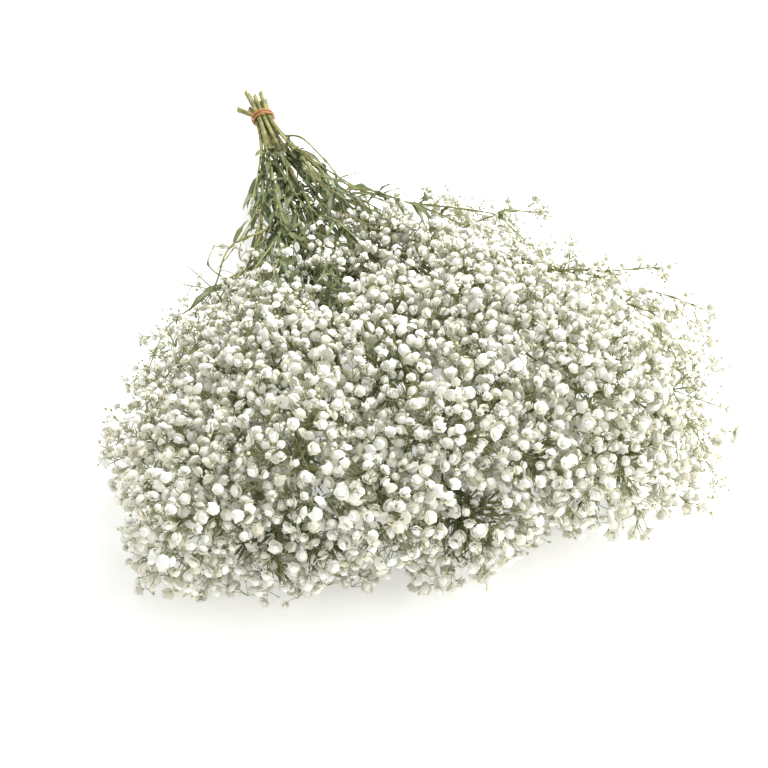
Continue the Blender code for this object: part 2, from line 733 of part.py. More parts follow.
def make_stem(number, path, branches, leaves):
    """One leafy stem: the stem, its branches and its leaves as one body."""
    name = f"stem_{number + 1:02d}"
    origin = path[1]
    pieces = [tube(name, path, stem_radii(path), STEM_SIDES, origin, CUT_SLANT)]
    pieces += [tube(name + "_branch", line, BRANCH_RADIUS, BRANCH_SIDES, origin) for line in branches]
    pieces += [leaf(name + "_leaf", line, origin) for line in leaves]
    return fused(pieces, "green stem")


def make_spray(number, spray):
    """One spray: its rays grow out of a knob, the hull of their first rings and a few more points.

    All of these lie on one ball, so each ring is a face of the hull, and it gives way to its ray."""
    grown = bmesh.new()
    rings = []
    for centre, frame, is_foot in spray.florets:
        points, faces = floret_shell(spray.joint, centre, frame, is_foot)
        corners = [grown.verts.new(point - spray.joint) for point in points]
        for face in faces:
            grown.faces.new([corners[corner] for corner in face])
        rings += corners[:3]
    knob = bmesh.new()
    for corner in rings:
        knob.verts.new(corner.co)
    for point in knob_points(spray):
        knob.verts.new(point - spray.joint)
    bmesh.ops.convex_hull(knob, input=knob.verts)
    knob.verts.index_update()
    own = rings + [grown.verts.new(corner.co) for corner in knob.verts[len(rings) :]]
    for face in knob.faces:
        spots = [corner.index for corner in face.verts]
        if len({spot // 3 for spot in spots}) > 1 or max(spots) >= len(rings):
            grown.faces.new([own[spot] for spot in spots])
    knob.free()
    name = f"spray_{number + 1:02d}"
    mesh = bpy.data.meshes.new(name)
    grown.to_mesh(mesh)
    grown.free()
    thing = bpy.data.objects.new(name, mesh)
    thing.location = spray.joint
    bpy.context.scene.collection.objects.link(thing)
    return fused([thing], "white blossom")


def band_section():
    """(along, outward) of the band's section: a flat inside and a ridge for each turn outside."""
    half = BAND_TURNS * BAND_WIDTH / 2
    ridges = np.linspace(half, -half, 2 * BAND_TURNS + 1)
    heights = np.where(np.arange(2 * BAND_TURNS + 1) % 2, BAND_THICKNESS, BAND_THICKNESS - BAND_GROOVE)
    outside = np.stack([ridges, heights], axis=1)
    return np.vstack([[-half, 0.0], [half, 0.0], outside])


def make_band():
    """The wound rubber band, which follows the outline of the stems' bundle just clear of it."""
    angles = np.arange(BAND_POINTS) * 2 * math.pi / BAND_POINTS
    ways = np.stack([np.cos(angles), np.sin(angles)], axis=1)
    centres = np.array([[stem.column * STEM_PITCH, stem.row * ROW_PITCH] for stem in STEMS])
    outermost = centres[(centres @ ways.T).argmax(axis=0)]
    section = band_section()
    slack = (STEM_RADIUS + SEAT_GAP) / math.cos(math.pi / BAND_POINTS)
    around = outermost[:, None] + ways[:, None] * (slack + section[None, :, 1:])
    along = section[None, :, 0] + BAND_SLANT * np.cos(angles)[:, None]
    points = np.stack([around[..., 0], along, around[..., 1] + BAND_HEIGHT], axis=-1)
    sides = len(section)
    faces = []
    for ring in range(BAND_POINTS):
        after = (ring + 1) % BAND_POINTS
        for side in range(sides):
            beside = (side + 1) % sides
            a, b = ring * sides, after * sides
            faces.append((a + side, b + side, b + beside, a + beside))
    return fused([make_object("band", points.reshape(-1, 3), faces, (0, 0, BAND_HEIGHT))], "tan rubber")


def settle(things):
    """Hangs everything on an empty that brings the box's middle over the origin."""
    bpy.context.view_layer.update()
    corners = np.vstack(
        [np.array([thing.matrix_world @ v.co for v in thing.data.vertices]) for thing in things]
    )
    low, high = corners.min(axis=0), corners.max(axis=0)
    bunch = bpy.data.objects.new("bunch", None)
    bpy.context.scene.collection.objects.link(bunch)
    bunch.location = (-(low[0] + high[0]) / 2, -(low[1] + high[1]) / 2, 0.0)
    for thing in things:
        thing.parent = bunch
    bpy.context.view_layer.update()


def main():
    for thing in list(bpy.data.objects):
        bpy.data.objects.remove(thing)
    paths, branches, leaves, sprays = grow()
    things = [make_band()]
    for number, path in enumerate(paths):
        own_branches = [line for owner, line in branches if owner == number]
        own_leaves = [line for owner, line in leaves if owner == number]
        things.append(make_stem(number, path, own_branches, own_leaves))
    things += [make_spray(number, spray) for number, spray in enumerate(sprays)]
    settle(things)


main()
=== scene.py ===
"""Dresses a tied bunch of gypsophila: leafy stems, forked stalks, small double flowers and its band.

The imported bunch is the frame. Its growth is worked out again here by the same rule from the same
seed, and the finer pieces follow it. Everything is reckoned from the band's middle and moved to the
frame's place for it as each mesh is made. Metres, +Z up.
"""

import functools
import json
import math
from collections import namedtuple

import bpy
import numpy as np
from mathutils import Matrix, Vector
from mathutils.kdtree import KDTree

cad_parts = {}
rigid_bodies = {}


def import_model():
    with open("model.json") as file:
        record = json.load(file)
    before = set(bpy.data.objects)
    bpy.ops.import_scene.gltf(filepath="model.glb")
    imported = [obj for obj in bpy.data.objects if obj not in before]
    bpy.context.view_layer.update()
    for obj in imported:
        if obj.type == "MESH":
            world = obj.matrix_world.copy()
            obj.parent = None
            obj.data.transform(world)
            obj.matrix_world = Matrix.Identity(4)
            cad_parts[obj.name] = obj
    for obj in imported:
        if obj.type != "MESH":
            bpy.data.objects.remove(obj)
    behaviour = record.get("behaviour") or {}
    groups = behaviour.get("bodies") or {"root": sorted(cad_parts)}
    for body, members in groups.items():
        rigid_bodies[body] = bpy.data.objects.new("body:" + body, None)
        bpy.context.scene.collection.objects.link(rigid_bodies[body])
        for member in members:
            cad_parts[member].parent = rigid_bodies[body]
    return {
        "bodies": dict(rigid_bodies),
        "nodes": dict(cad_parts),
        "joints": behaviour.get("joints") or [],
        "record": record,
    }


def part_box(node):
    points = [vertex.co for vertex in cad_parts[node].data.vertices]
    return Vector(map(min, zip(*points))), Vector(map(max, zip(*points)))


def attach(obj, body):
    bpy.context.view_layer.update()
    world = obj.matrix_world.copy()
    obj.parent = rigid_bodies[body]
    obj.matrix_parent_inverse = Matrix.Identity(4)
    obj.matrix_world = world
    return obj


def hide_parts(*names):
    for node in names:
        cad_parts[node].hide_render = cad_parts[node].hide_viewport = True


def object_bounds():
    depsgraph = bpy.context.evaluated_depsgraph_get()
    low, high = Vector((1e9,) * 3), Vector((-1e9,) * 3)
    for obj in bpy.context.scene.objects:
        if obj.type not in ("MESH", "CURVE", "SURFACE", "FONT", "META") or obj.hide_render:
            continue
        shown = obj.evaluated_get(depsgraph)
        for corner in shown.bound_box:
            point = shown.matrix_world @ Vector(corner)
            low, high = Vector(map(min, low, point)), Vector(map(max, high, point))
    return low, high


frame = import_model()

bl_info = {
    "name": "Gypsophila bunch",
    "version": (1, 0, 0),
    "blender": (4, 5, 0),
    "location": "3D View > Sidebar > Bunch",
    "description": "Grows the fine pieces of a tied bunch of gypsophila round its solid model",
    "category": "Object",
}

CAD_BOX = [list(corner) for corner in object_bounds()]

SEED = 11
# What is added to it for each kind of random numbers
SEEDS = {
    "skeleton": 0, "cymes": 1, "heads": 2, "shapes": 3, "greens": 100, "flowers": 200, "stalks": 300,
    "shoots": 400,
}
NO_ZERO = 1e-9  # added to a length before something is divided by it

# The stems, in three rows through the band. column and row place a stem in the band and in the fan,
# reach is from the band to its furthest blossoms, and pairs is its count of large leaf pairs.
Stem = namedtuple("Stem", "column row reach pairs")
STEMS = (
    Stem(-1.0, 1, 0.440, 5),
    Stem(0.0, 1, 0.440, 5),
    Stem(1.0, 1, 0.440, 3),
    Stem(-1.5, 0, 0.456, 5),
    Stem(-0.5, 0, 0.462, 5),
    Stem(0.5, 0, 0.458, 4),
    Stem(1.5, 0, 0.455, 3),
    Stem(-1.0, -1, 0.456, 3),
    Stem(0.0, -1, 0.466, 3),
    Stem(1.0, -1, 0.464, 2),
)

# Stems
FAN_STEP = 12.5  # degrees in plan between neighbouring columns
BAND_HEIGHT = 0.024  # of the band's middle above the surface
STEM_PITCH = 0.0037  # between stem centres in the band
ROW_PITCH = STEM_PITCH * math.sqrt(3) / 2
STEM_RADIUS = 0.0016
TIP_RADIUS = 0.0009
STRAIGHT = 0.0058  # each way from the band's middle, before the stems spread
STUBS = (0.006, 0.024)  # least and most length of a cut end past that
STUB_SPLAY = 0.0016  # between neighbours at the longest cut end
CUT_SLANT = 0.9
STEM_POINTS = 11
SPREAD_POWERS = (1.22, 1.0, 1.40)  # of the way along, for across, along and up

# The cloud of blossoms round each stem: an egg bent along the stem, its small end to the band.
# Its middle and its two half lengths are shares of the stem's way from the band to its tip.
CLOUD_MIDDLE = 0.80
CLOUD_BACK = 0.46
CLOUD_FRONT = 0.32
CLOUD_SIZES = (0.056, 0.043)  # half width and half height at the middle
CLOUD_TAPER = 0.40
CLOUD_LEAST = 0.2  # of the full width, however far towards the band
LEAST_WAY = 0.01  # of the way from the band to a tip
ROW_HEIGHTS = {1: 0.090, 0: 0.070, -1: 0.050}
DOME = 0.0055  # fall of a stem's tip for each column from the middle, times its square
TIP_SHARE = 0.885  # of a stem's reach, where its last joint is

# Sprays that stand out of the clouds: degrees from the fan's axis, reach from the band, height
OUTLIERS = (
    (-24.0, 0.205, 0.044),
    (-25.5, 0.275, 0.048),
    (-25.0, 0.350, 0.048),
    (25.0, 0.215, 0.042),
    (26.0, 0.290, 0.052),
    (24.5, 0.370, 0.060),
)
OUTLIER_SIZES = (0.034, 0.040, 0.028)

# Branches, and the joints at their ends that the florets spring from
JOINT_COUNT = 48
JOINT_DEPTH = 0.031  # under the clouds' skin
JOINT_ROUNDS = 12
SKIN_TRIES = 9000
SKIN_DEPTH = 0.88  # least depth that counts as skin
SKIN_UNDERSIDE = -0.6  # skin that faces further down than this has no joint of its own
BRANCH_RADIUS = 0.0009
BRANCH_POINTS = 5
FINE_STEPS, COARSE_STEPS = 160, 40  # points along a line, to choose from and to measure by
BRANCH_ANGLES = (38.0, 30.0, 48.0, 22.0, 58.0, 70.0)  # degrees from the stem, best first
BRANCH_ANGLE_SLACK = 7.0
BRANCH_STEMS = 3  # how many of the nearest stems may carry a joint
BRANCH_BOW = 0.22
BRANCH_START = 0.090  # least distance from the band
BRANCH_SHORTEST = 0.012
JOINT_RADIUS = 0.0032
KNOB_STEPS = 6

# Florets, each as large as a tuft of ten or so real blossoms, so that fewer cover the cloud
FLORET_COUNT = 345
FLORET_RADIUS = 0.0122
FLORET_RISE = 0.0034
FLORET_DEPTH = 0.0056
PETALS = 5
NOTCH = 0.74  # radius between two petals, as a share of the petals' own
NOTCH_DROP = 0.0014
SPOKE_ROOM = 0.0019  # radius of the room that a petal takes
SPOKE_INSET = 0.0012
SPOKE_SINK = 0.0008
CORE_ROOM = 0.0028
CORE_TOP = 0.0006
RAY_RADIUS = 0.0008
RAY_CROWDED = 0.009  # length over which the rays of a joint may lie close together
RAY_APART = math.cos(math.radians(23.0))  # greatest cosine between two rays of a joint
RAY_BEND = 0.22  # least cosine between a ray and the axis of the floret on it
RAY_LENGTHS = (0.014, 0.070)
RAY_BACKWARD = -0.70  # least cosine between a ray and the branch that carries it
# (least depth, greatest depth, spacing, tries), filled in turn until there are enough florets
FLORET_PASSES = (
    (0.90, 1.00, 0.0265, 2200),
    (0.86, 1.00, 0.0238, 4200),
    (0.50, 0.80, 0.0265, 1300),
    (0.82, 1.02, 0.0218, 9000),
)
UNDERSIDE = -0.45  # of the florets that would face further down than this only a share is kept
UNDERSIDE_SHARE = 0.35
PLACES_A_TRY = 6  # random places for each one that is tried
FLORET_JOINTS = 5  # how many of the nearest joints may carry a floret
SPRAY_REACH = 0.16  # joints further away than this have nothing in the way of a floret

# The three florets that the bunch rests on, across and along from the band, and how far across,
# along and up from each its joint lies
FEET = ((-0.112, -0.368), (0.128, -0.366), (0.004, -0.190))
FOOT_JOINTS = ((0.014, 0.024, 0.036), (-0.014, 0.024, 0.036), (0.010, -0.024, 0.030))

# Leaves
LEAF_LENGTHS = (0.046, 0.028)  # the first pair and the last
BRACT_LENGTH = 0.024
LEAF_WIDTH = 0.0066
LEAF_FIRST = 0.052  # from the band to the first pair
LEAF_STEP = 0.031
LEAF_STAGGER = 0.012
LEAF_TURNS = 10
TURN_STEPS = (0, 1, -1, 2, -2, 3, -3)  # of those turns, tried in this order
LEAF_POINTS = 5
LEAF_TILTS = (36.0, 50.0, 24.0, 66.0)  # degrees from the stem, best first
LEAF_DROOP = 0.16
LEAF_SPLAY = 0.10

CLEARANCE = 0.0006
SEAT_GAP = 0.0003
FLOOR_GAP = 0.0008


def randoms(kind, number=0):
    """The random numbers of that kind, for the stem of that number."""
    return np.random.default_rng(SEED + SEEDS[kind] + number)


def unit(v):
    """The one vector, at length 1."""
    return v / np.linalg.norm(v)


def distances(vectors):
    """The lengths of the vectors in an array's last axis."""
    return np.sqrt((vectors**2).sum(-1))


def lengths_of(vectors):
    """The same lengths with an axis more, to divide the vectors by."""
    return distances(vectors)[..., None]


def ways_along(line):
    """How far along a line of points each of them is."""
    return np.append(0, np.cumsum(distances(np.diff(line, axis=0))))


def units(vectors, more=0.0):
    """The vectors in an array's last axis, each at length 1. Where some may have no length, more is
    added to it."""
    return vectors / (lengths_of(vectors) + more)


def round_ways(angles):
    """The unit ways at those angles in a plane, as (cos a, sin a) in a last axis."""
    return np.stack([np.cos(angles), np.sin(angles)], axis=-1)


def bent_lines(starts, bends, ends, count):
    """Parabolas (1-t)^2 A + 2t(1-t) B + t^2 C for many rows A, B and C at once."""
    t = np.linspace(0, 1, count)[None, :, None]
    return (1 - t) ** 2 * starts[:, None] + 2 * t * (1 - t) * bends[:, None] + t**2 * ends[:, None]


def turned(angle, reach, height):
    """A point at that angle from the fan's axis in plan, in degrees, and that far from the band."""
    turn = math.radians(angle)
    return np.array([math.sin(turn) * reach, -math.cos(turn) * reach, height])


# The skeleton


def stem_ends(stem):
    """Where a stem leaves the band, and its tip."""
    middle = np.array([stem.column * STEM_PITCH, 0.0, BAND_HEIGHT + stem.row * ROW_PITCH])
    height = ROW_HEIGHTS[stem.row] - DOME * stem.column**2
    tip = turned(stem.column * FAN_STEP, stem.reach * TIP_SHARE, height)
    return middle - [0, STRAIGHT, 0], tip


def cloud_depths(points):
    """(depth, outward way) of each point: depth is 0 in the middle of its cloud, 1 on the skin."""
    best = np.full(len(points), np.inf)
    outward = np.zeros((len(points), 3))
    for stem in STEMS:
        start, tip = stem_ends(stem)
        way = np.maximum((points[:, 1] - start[1]) / (tip[1] - start[1]), LEAST_WAY)
        centre = start + (tip - start) * way[:, None] ** SPREAD_POWERS
        length = np.where(way > CLOUD_MIDDLE, CLOUD_FRONT, CLOUD_BACK)
        along = (way - CLOUD_MIDDLE) / length
        swell = np.maximum(1 + CLOUD_TAPER * along, CLOUD_LEAST)
        width, height = (size * swell for size in CLOUD_SIZES)
        local = np.stack([points[:, 0] - centre[:, 0], along, points[:, 2] - centre[:, 2]], axis=1)
        local[:, 0] /= width
        local[:, 2] /= height
        depth = distances(local)
        slope = local / np.stack([width, (tip[1] - start[1]) * length, height], axis=1)
        nearer = depth < best
        best[nearer], outward[nearer] = depth[nearer], slope[nearer]
    for spot in OUTLIERS:
        local = (points - turned(*spot)) / OUTLIER_SIZES
        depth = distances(local)
        nearer = depth < best
        best[nearer], outward[nearer] = depth[nearer], (local / OUTLIER_SIZES)[nearer]
    return best, units(outward, NO_ZERO)


def points_in_clouds(rng, count, stretch=1.0):
    """Random points spread evenly through each cloud, two shares of them to each stem's and one to
    the sprays that stand out. stretch is the greatest depth."""
    ball = rng.normal(size=(count, 3))
    ball *= stretch * (rng.random(count) ** (1 / 3) / distances(ball))[:, None]
    which = rng.integers(2 * len(STEMS) + 1, size=count) // 2
    spots = rng.integers(len(OUTLIERS), size=count)
    points = np.array([turned(*OUTLIERS[spot]) for spot in spots]) + ball * OUTLIER_SIZES
    for number, stem in enumerate(STEMS):
        own = which == number
        start, tip = stem_ends(stem)
        along = ball[own, 1]
        way = CLOUD_MIDDLE + along * np.where(along > 0, CLOUD_FRONT, CLOUD_BACK)
        swell = 1 + CLOUD_TAPER * along
        points[own] = start + (tip - start) * way[:, None] ** SPREAD_POWERS
        points[own, 0] += ball[own, 0] * CLOUD_SIZES[0] * swell
        points[own, 2] += ball[own, 2] * CLOUD_SIZES[1] * swell
    return points


def stem_path(stem, stub):
    """A stem's centreline from its cut end, straight through the band, to its last joint.

    Every stem spreads by the same powers of the way along it, so no two cross."""
    start, tip = stem_ends(stem)
    way = np.linspace(0, 1, STEM_POINTS)[:, None]
    outward = start + (tip - start) * way**SPREAD_POWERS
    behind = start + [0, 2 * STRAIGHT, 0]
    splay = STUB_SPLAY * stub / STUBS[1]
    cut = behind + [stem.column * splay, stub, stem.row * splay]
    return np.vstack([cut, behind, outward])


def stem_radii(path):
    """A stem's radius at each point of its centreline, thinning evenly from the band to its tip."""
    way = np.clip(path[:, 1] / path[-1, 1], 0, 1)
    return STEM_RADIUS + (TIP_RADIUS - STEM_RADIUS) * way


def rod_gaps(a0, a1, b0, b1):
    """The distance between each line a0-a1 and each line b0-b1, as a table."""
    d1, d2 = (a1 - a0)[:, None], (b1 - b0)[None]
    r = a0[:, None] - b0[None]
    tiny = 1e-12
    a = np.maximum((d1 * d1).sum(-1), tiny)
    e = np.maximum((d2 * d2).sum(-1), tiny)
    b, c, f = (d1 * d2).sum(-1), (d1 * r).sum(-1), (d2 * r).sum(-1)
    s = np.clip((b * f - c * e) / np.maximum(a * e - b * b, tiny), 0, 1)
    t = np.clip((b * s + f) / e, 0, 1)
    s = np.clip((b * t - c) / a, 0, 1)
    apart = r + d1 * s[..., None] - d2 * t[..., None]
    return distances(apart)


class Rods:
    """Lines with a radius each, which stand for the room that pieces take up."""

    def __init__(self, starts=(), ends=(), radii=()):
        self.starts = np.array(starts, float).reshape(-1, 3)
        self.ends = np.array(ends, float).reshape(-1, 3)
        self.radii = np.array(radii, float).reshape(-1)

    def joined(self, other):
        starts, ends = np.vstack([self.starts, other.starts]), np.vstack([self.ends, other.ends])
        return Rods(starts, ends, np.append(self.radii, other.radii))

    def clear_of(self, other):
        """True if all of these keep the clearance to all of the others."""
        if not len(self.radii) or not len(other.radii):
            return True
        low = np.minimum(self.starts, self.ends).min(axis=0)
        high = np.maximum(self.starts, self.ends).max(axis=0)
        reach = (other.radii + self.radii.max() + CLEARANCE)[:, None]
        near = (np.minimum(other.starts, other.ends) < high + reach).all(axis=1)
        near &= (np.maximum(other.starts, other.ends) > low - reach).all(axis=1)
        if not near.any():
            return True
        gaps = rod_gaps(self.starts, self.ends, other.starts[near], other.ends[near])
        return bool((gaps > self.radii[:, None] + other.radii[near] + CLEARANCE).all())


def line_rods(points, radii):
    """The rods of a line of points, each as thick as the thicker of its ends."""
    radii = np.broadcast_to(radii, len(points))
    return Rods(points[:-1], points[1:], np.maximum(radii[:-1], radii[1:]))


def choose_joints(rng, tips):
    """The joints, each under the middle of its share of the clouds' skin.

    Those at stem tips, over the feet and in the outliers are given. The others start on the skin and
    move a few times to the middle of the skin points that are nearest them, sunk by JOINT_DEPTH."""
    over_feet = [np.array([*foot, 0.0]) + offset for foot, offset in zip(FEET, FOOT_JOINTS)]
    given = list(tips) + over_feet + [turned(*spot) for spot in OUTLIERS]
    skin = points_in_clouds(rng, SKIN_TRIES)
    depths, outward = cloud_depths(skin)
    on_skin = (depths > SKIN_DEPTH) & (outward[:, 2] > SKIN_UNDERSIDE)
    skin, outward = skin[on_skin], outward[on_skin]
    joints = np.array(given)
    while len(joints) < JOINT_COUNT:
        gaps = distances(skin[:, None] - joints[None]).min(axis=1)
        joints = np.vstack([joints, skin[gaps.argmax()]])
    for _ in range(JOINT_ROUNDS):
        owner = distances(skin[:, None] - joints[None]).argmin(axis=1)
        for number in range(len(given), len(joints)):
            own = owner == number
            if own.any():
                joints[number] = (skin[own] - outward[own] * JOINT_DEPTH).mean(axis=0)
    return list(joints)


def fine_line(path, count=FINE_STEPS):
    """(points, unit ways) at even steps along a line of points."""
    lengths = ways_along(path)
    steps = np.linspace(0, lengths[-1], count)
    points = np.stack([np.interp(steps, lengths, path[:, axis]) for axis in range(3)], axis=1)
    return points, units(np.gradient(points, axis=0))


def branch_path(path, joint, angle):
    """A bowed branch that leaves a stem at about that angle and ends at the joint, or None."""
    spots, ways = fine_line(path[1:])
    to_joint = joint - spots
    gaps = distances(to_joint)
    leans = np.degrees(np.arccos(np.clip((to_joint * ways).sum(1) / gaps, -1, 1)))
    leans[-spots[:, 1] < BRANCH_START] = np.inf
    leans[gaps < BRANCH_SHORTEST] = np.inf
    pick = np.abs(leans - angle).argmin()
    if not abs(leans[pick] - angle) < BRANCH_ANGLE_SLACK:
        return None
    start, way = spots[pick], ways[pick]
    across = to_joint[pick] - way * np.dot(to_joint[pick], way)
    bend = (start + joint) / 2 + across * BRANCH_BOW
    return bent_lines(start[None], bend[None], joint[None], BRANCH_POINTS)[0]


def shortened(path, cut):
    """The same line with its end drawn back by that length."""
    return np.vstack([path[:-1], path[-1] - unit(path[-1] - path[-2]) * cut])


def knob_rods(joints):
    """The room that the knobs at those joints take."""
    return Rods(joints, joints, np.full(len(joints), JOINT_RADIUS))


def off_the_stems(greens, joint):
    """The joint, moved up or down by as little as leaves room for its knob beside the stems."""
    for step in range(KNOB_STEPS):
        for sign in (1, -1):
            moved = joint + [0, 0, sign * step * JOINT_RADIUS]
            if all(knob_rods([moved]).clear_of(green) for green in greens):
                return moved
    return joint


def off_the_others(rods, greens, knobs, number):
    """True if the rods are clear of every stem but that one, and of the knobs."""
    return all(rods.clear_of(other) for other in [*greens[:number], *greens[number + 1 :], knobs])


def find_branch(greens, knobs, paths, joint):
    """(stem number, branch) for the nearest stem that can send a clear branch to the joint."""
    gaps = [distances(fine_line(path[1:], COARSE_STEPS)[0] - joint).min() for path in paths]
    for angle in BRANCH_ANGLES:
        for number in np.argsort(gaps)[:BRANCH_STEMS]:
            branch = branch_path(paths[number], joint, angle)
            if branch is None:
                continue
            rods = line_rods(shortened(branch, JOINT_RADIUS), BRANCH_RADIUS)
            if off_the_others(rods, greens, knobs, number):
                return int(number), branch
    return None


def leaf_path(start, way, outward, length):
    """A leaf's midrib: straight out, then arched over by its own weight."""
    steps = np.linspace(0, 1, LEAF_POINTS)[:, None]
    droop = outward * LEAF_SPLAY - np.array([0, 0, LEAF_DROOP])
    return start + length * (steps * way + steps**2 * droop)


def grow_leaf(greens, knobs, number, spot, way, turn, length):
    """The first of a few tilts of a leaf, on that side of the stem, that is clear, or None."""
    side = unit(np.cross(way, [0, 0, 1.0]))
    outward = side * math.cos(turn) + np.cross(side, way) * math.sin(turn)
    for tilt in np.radians(LEAF_TILTS):
        path = leaf_path(spot, way * math.cos(tilt) + outward * math.sin(tilt), outward, length)
        if path[:, 2].min() < LEAF_WIDTH:
            continue
        rods = line_rods(path, LEAF_WIDTH / 2)
        if off_the_others(rods, greens, knobs, number):
            own = Rods(rods.starts[1:], rods.ends[1:], rods.radii[1:])
            if own.clear_of(greens[number]):
                return path, rods
    return None


def grow_leaves(rng, greens, knobs, paths, branches):
    """[(stem number, midrib)] of the leaf pairs on the stems and of one bract at each branch."""
    leaves, plans = [], []
    for number, (stem, path) in enumerate(zip(STEMS, paths)):
        spots, ways = fine_line(path[2:])
        for pair in range(stem.pairs):
            away = LEAF_FIRST + pair * LEAF_STEP + rng.uniform(0, LEAF_STAGGER)
            pick = np.abs(-spots[:, 1] - away).argmin()
            length = np.interp(pair, (0, max(stem.pairs - 1, 1)), LEAF_LENGTHS)
            first = rng.integers(LEAF_TURNS)
            for turn in (first, first + LEAF_TURNS // 2):
                plans.append((number, spots[pick], ways[pick], turn, length))
    for number, branch in branches:
        way = unit(branch[1] - branch[0])
        plans.append((number, branch[0] + way * STEM_RADIUS, way, rng.integers(LEAF_TURNS), BRACT_LENGTH))
    for number, spot, way, first, length in plans:
        for step in TURN_STEPS:
            turn = math.tau * (first + step) / LEAF_TURNS
            found = grow_leaf(greens, knobs, number, spot, way, turn, length)
            if found:
                leaves.append((number, found[0]))
                greens[number] = greens[number].joined(found[1])
                break
    return leaves


def floret_frame(axis, turn):
    """Three unit ways as rows: two across the floret, turned by that angle, and its axis."""
    first = unit(np.cross(axis, np.eye(3)[np.abs(axis).argmin()]))
    second = np.cross(axis, first)
    across = first * math.cos(turn) + second * math.sin(turn)
    return np.array([across, np.cross(axis, across), axis])


def rim_shape():
    """The floret's rim in its own frame: petal tips and, between them, the lower notches."""
    angles = np.arange(2 * PETALS) * math.pi / PETALS
    radii = np.where(np.arange(2 * PETALS) % 2, NOTCH, 1.0) * FLORET_RADIUS
    drops = np.where(np.arange(2 * PETALS) % 2, -NOTCH_DROP, 0.0)
    return np.column_stack([radii[:, None] * round_ways(angles), drops])


def floret_rods(centre, frame):
    """The room that a floret takes: a spoke to each point of its rim, and its core."""
    rim = rim_shape()
    rim *= 1 - SPOKE_INSET / lengths_of(rim)
    spokes = (rim - [0, 0, SPOKE_SINK]) @ frame
    core = np.array([[0, 0, -FLORET_DEPTH], [0, 0, CORE_TOP]]) @ frame
    starts = np.vstack([np.tile(centre - frame[2] * SPOKE_SINK, (len(rim), 1)), centre + core[:1]])
    radii = np.append(np.full(len(rim), SPOKE_ROOM), CORE_ROOM)
    return Rods(starts, centre + np.vstack([spokes, core[1:]]), radii)


class Spray:
    """A joint with the way its branch comes in, and the florets on their rays."""

    def __init__(self, joint, way, stem):
        self.joint, self.way, self.stem = joint, way, stem
        self.florets = []
        self.rays = np.zeros((0, 3))
        self.near, self.far = Rods(), Rods()

    def try_floret(self, centre, frame, others, is_foot=False):
        """Adds a floret with its ray if nothing is in the way, and says whether it did."""
        base = centre - frame[2] * FLORET_DEPTH
        ray = base - self.joint
        length = np.linalg.norm(ray)
        if not RAY_LENGTHS[0] < length < RAY_LENGTHS[1]:
            return False
        ray /= length
        if np.dot(ray, self.way) < RAY_BACKWARD or np.dot(ray, frame[2]) < RAY_BEND:
            return False
        if (self.rays @ ray > RAY_APART).any():
            return False
        shape = np.vstack([rim_shape(), [0, 0, FLORET_RISE]])
        if not is_foot and (centre + shape @ frame)[:, 2].min() < FLOOR_GAP:
            return False
        bend = self.joint + ray * RAY_CROWDED
        near = Rods([self.joint], [bend], [RAY_RADIUS])
        far = Rods([bend], [base], [RAY_RADIUS]).joined(floret_rods(centre, frame))
        whole = near.joined(far)
        if not all(whole.clear_of(other) for other in others) or not far.clear_of(self.far):
            return False
        self.florets.append((centre, frame, is_foot))
        self.rays = np.vstack([self.rays, ray])
        self.near, self.far = self.near.joined(near), self.far.joined(far)
        return True


def fill_florets(rng, greens, sprays):
    """Florets on all the sprays: the three feet, then the skin of the clouds, then their insides."""
    joints = np.array([spray.joint for spray in sprays])
    hubs = [knob_rods([joint]) for joint in joints]
    centres = []

    def place(centre, axis, turn, is_foot=False):
        gaps = distances(joints - centre)
        for number in gaps.argsort()[:FLORET_JOINTS]:
            spray = sprays[number]
            others = list(greens)
            for index, other in enumerate(sprays):
                if index != number and gaps[index] < SPRAY_REACH:
                    others += [other.far, other.near, hubs[index]]
            towards = unit(centre - spray.joint)
            lean = axis if is_foot else unit(axis + towards)
            if spray.try_floret(centre, floret_frame(lean, turn), others, is_foot):
                centres.append(centre)
                return True
        return False

    for foot in FEET:
        place(np.array([*foot, FLORET_RISE]), np.array([0, 0, -1.0]), 0.0, True)
    for least, most, spacing, tries in FLORET_PASSES:
        points = points_in_clouds(rng, PLACES_A_TRY * tries, most)
        depths, outward = cloud_depths(points)
        turns = rng.uniform(0, math.tau / PETALS, len(points))
        chances = rng.random(len(points))
        keep = (depths > least) & (depths < most) & (points[:, 2] > FLORET_RISE + FLOOR_GAP)
        keep &= (outward[:, 2] > UNDERSIDE) | (chances < UNDERSIDE_SHARE)
        for index in np.flatnonzero(keep)[:tries]:
            if len(centres) >= FLORET_COUNT:
                return
            if distances(np.array(centres) - points[index]).min() > spacing:
                place(points[index], outward[index], turns[index])


Growth = namedtuple("Growth", "paths tips branches joints leaves sprays")


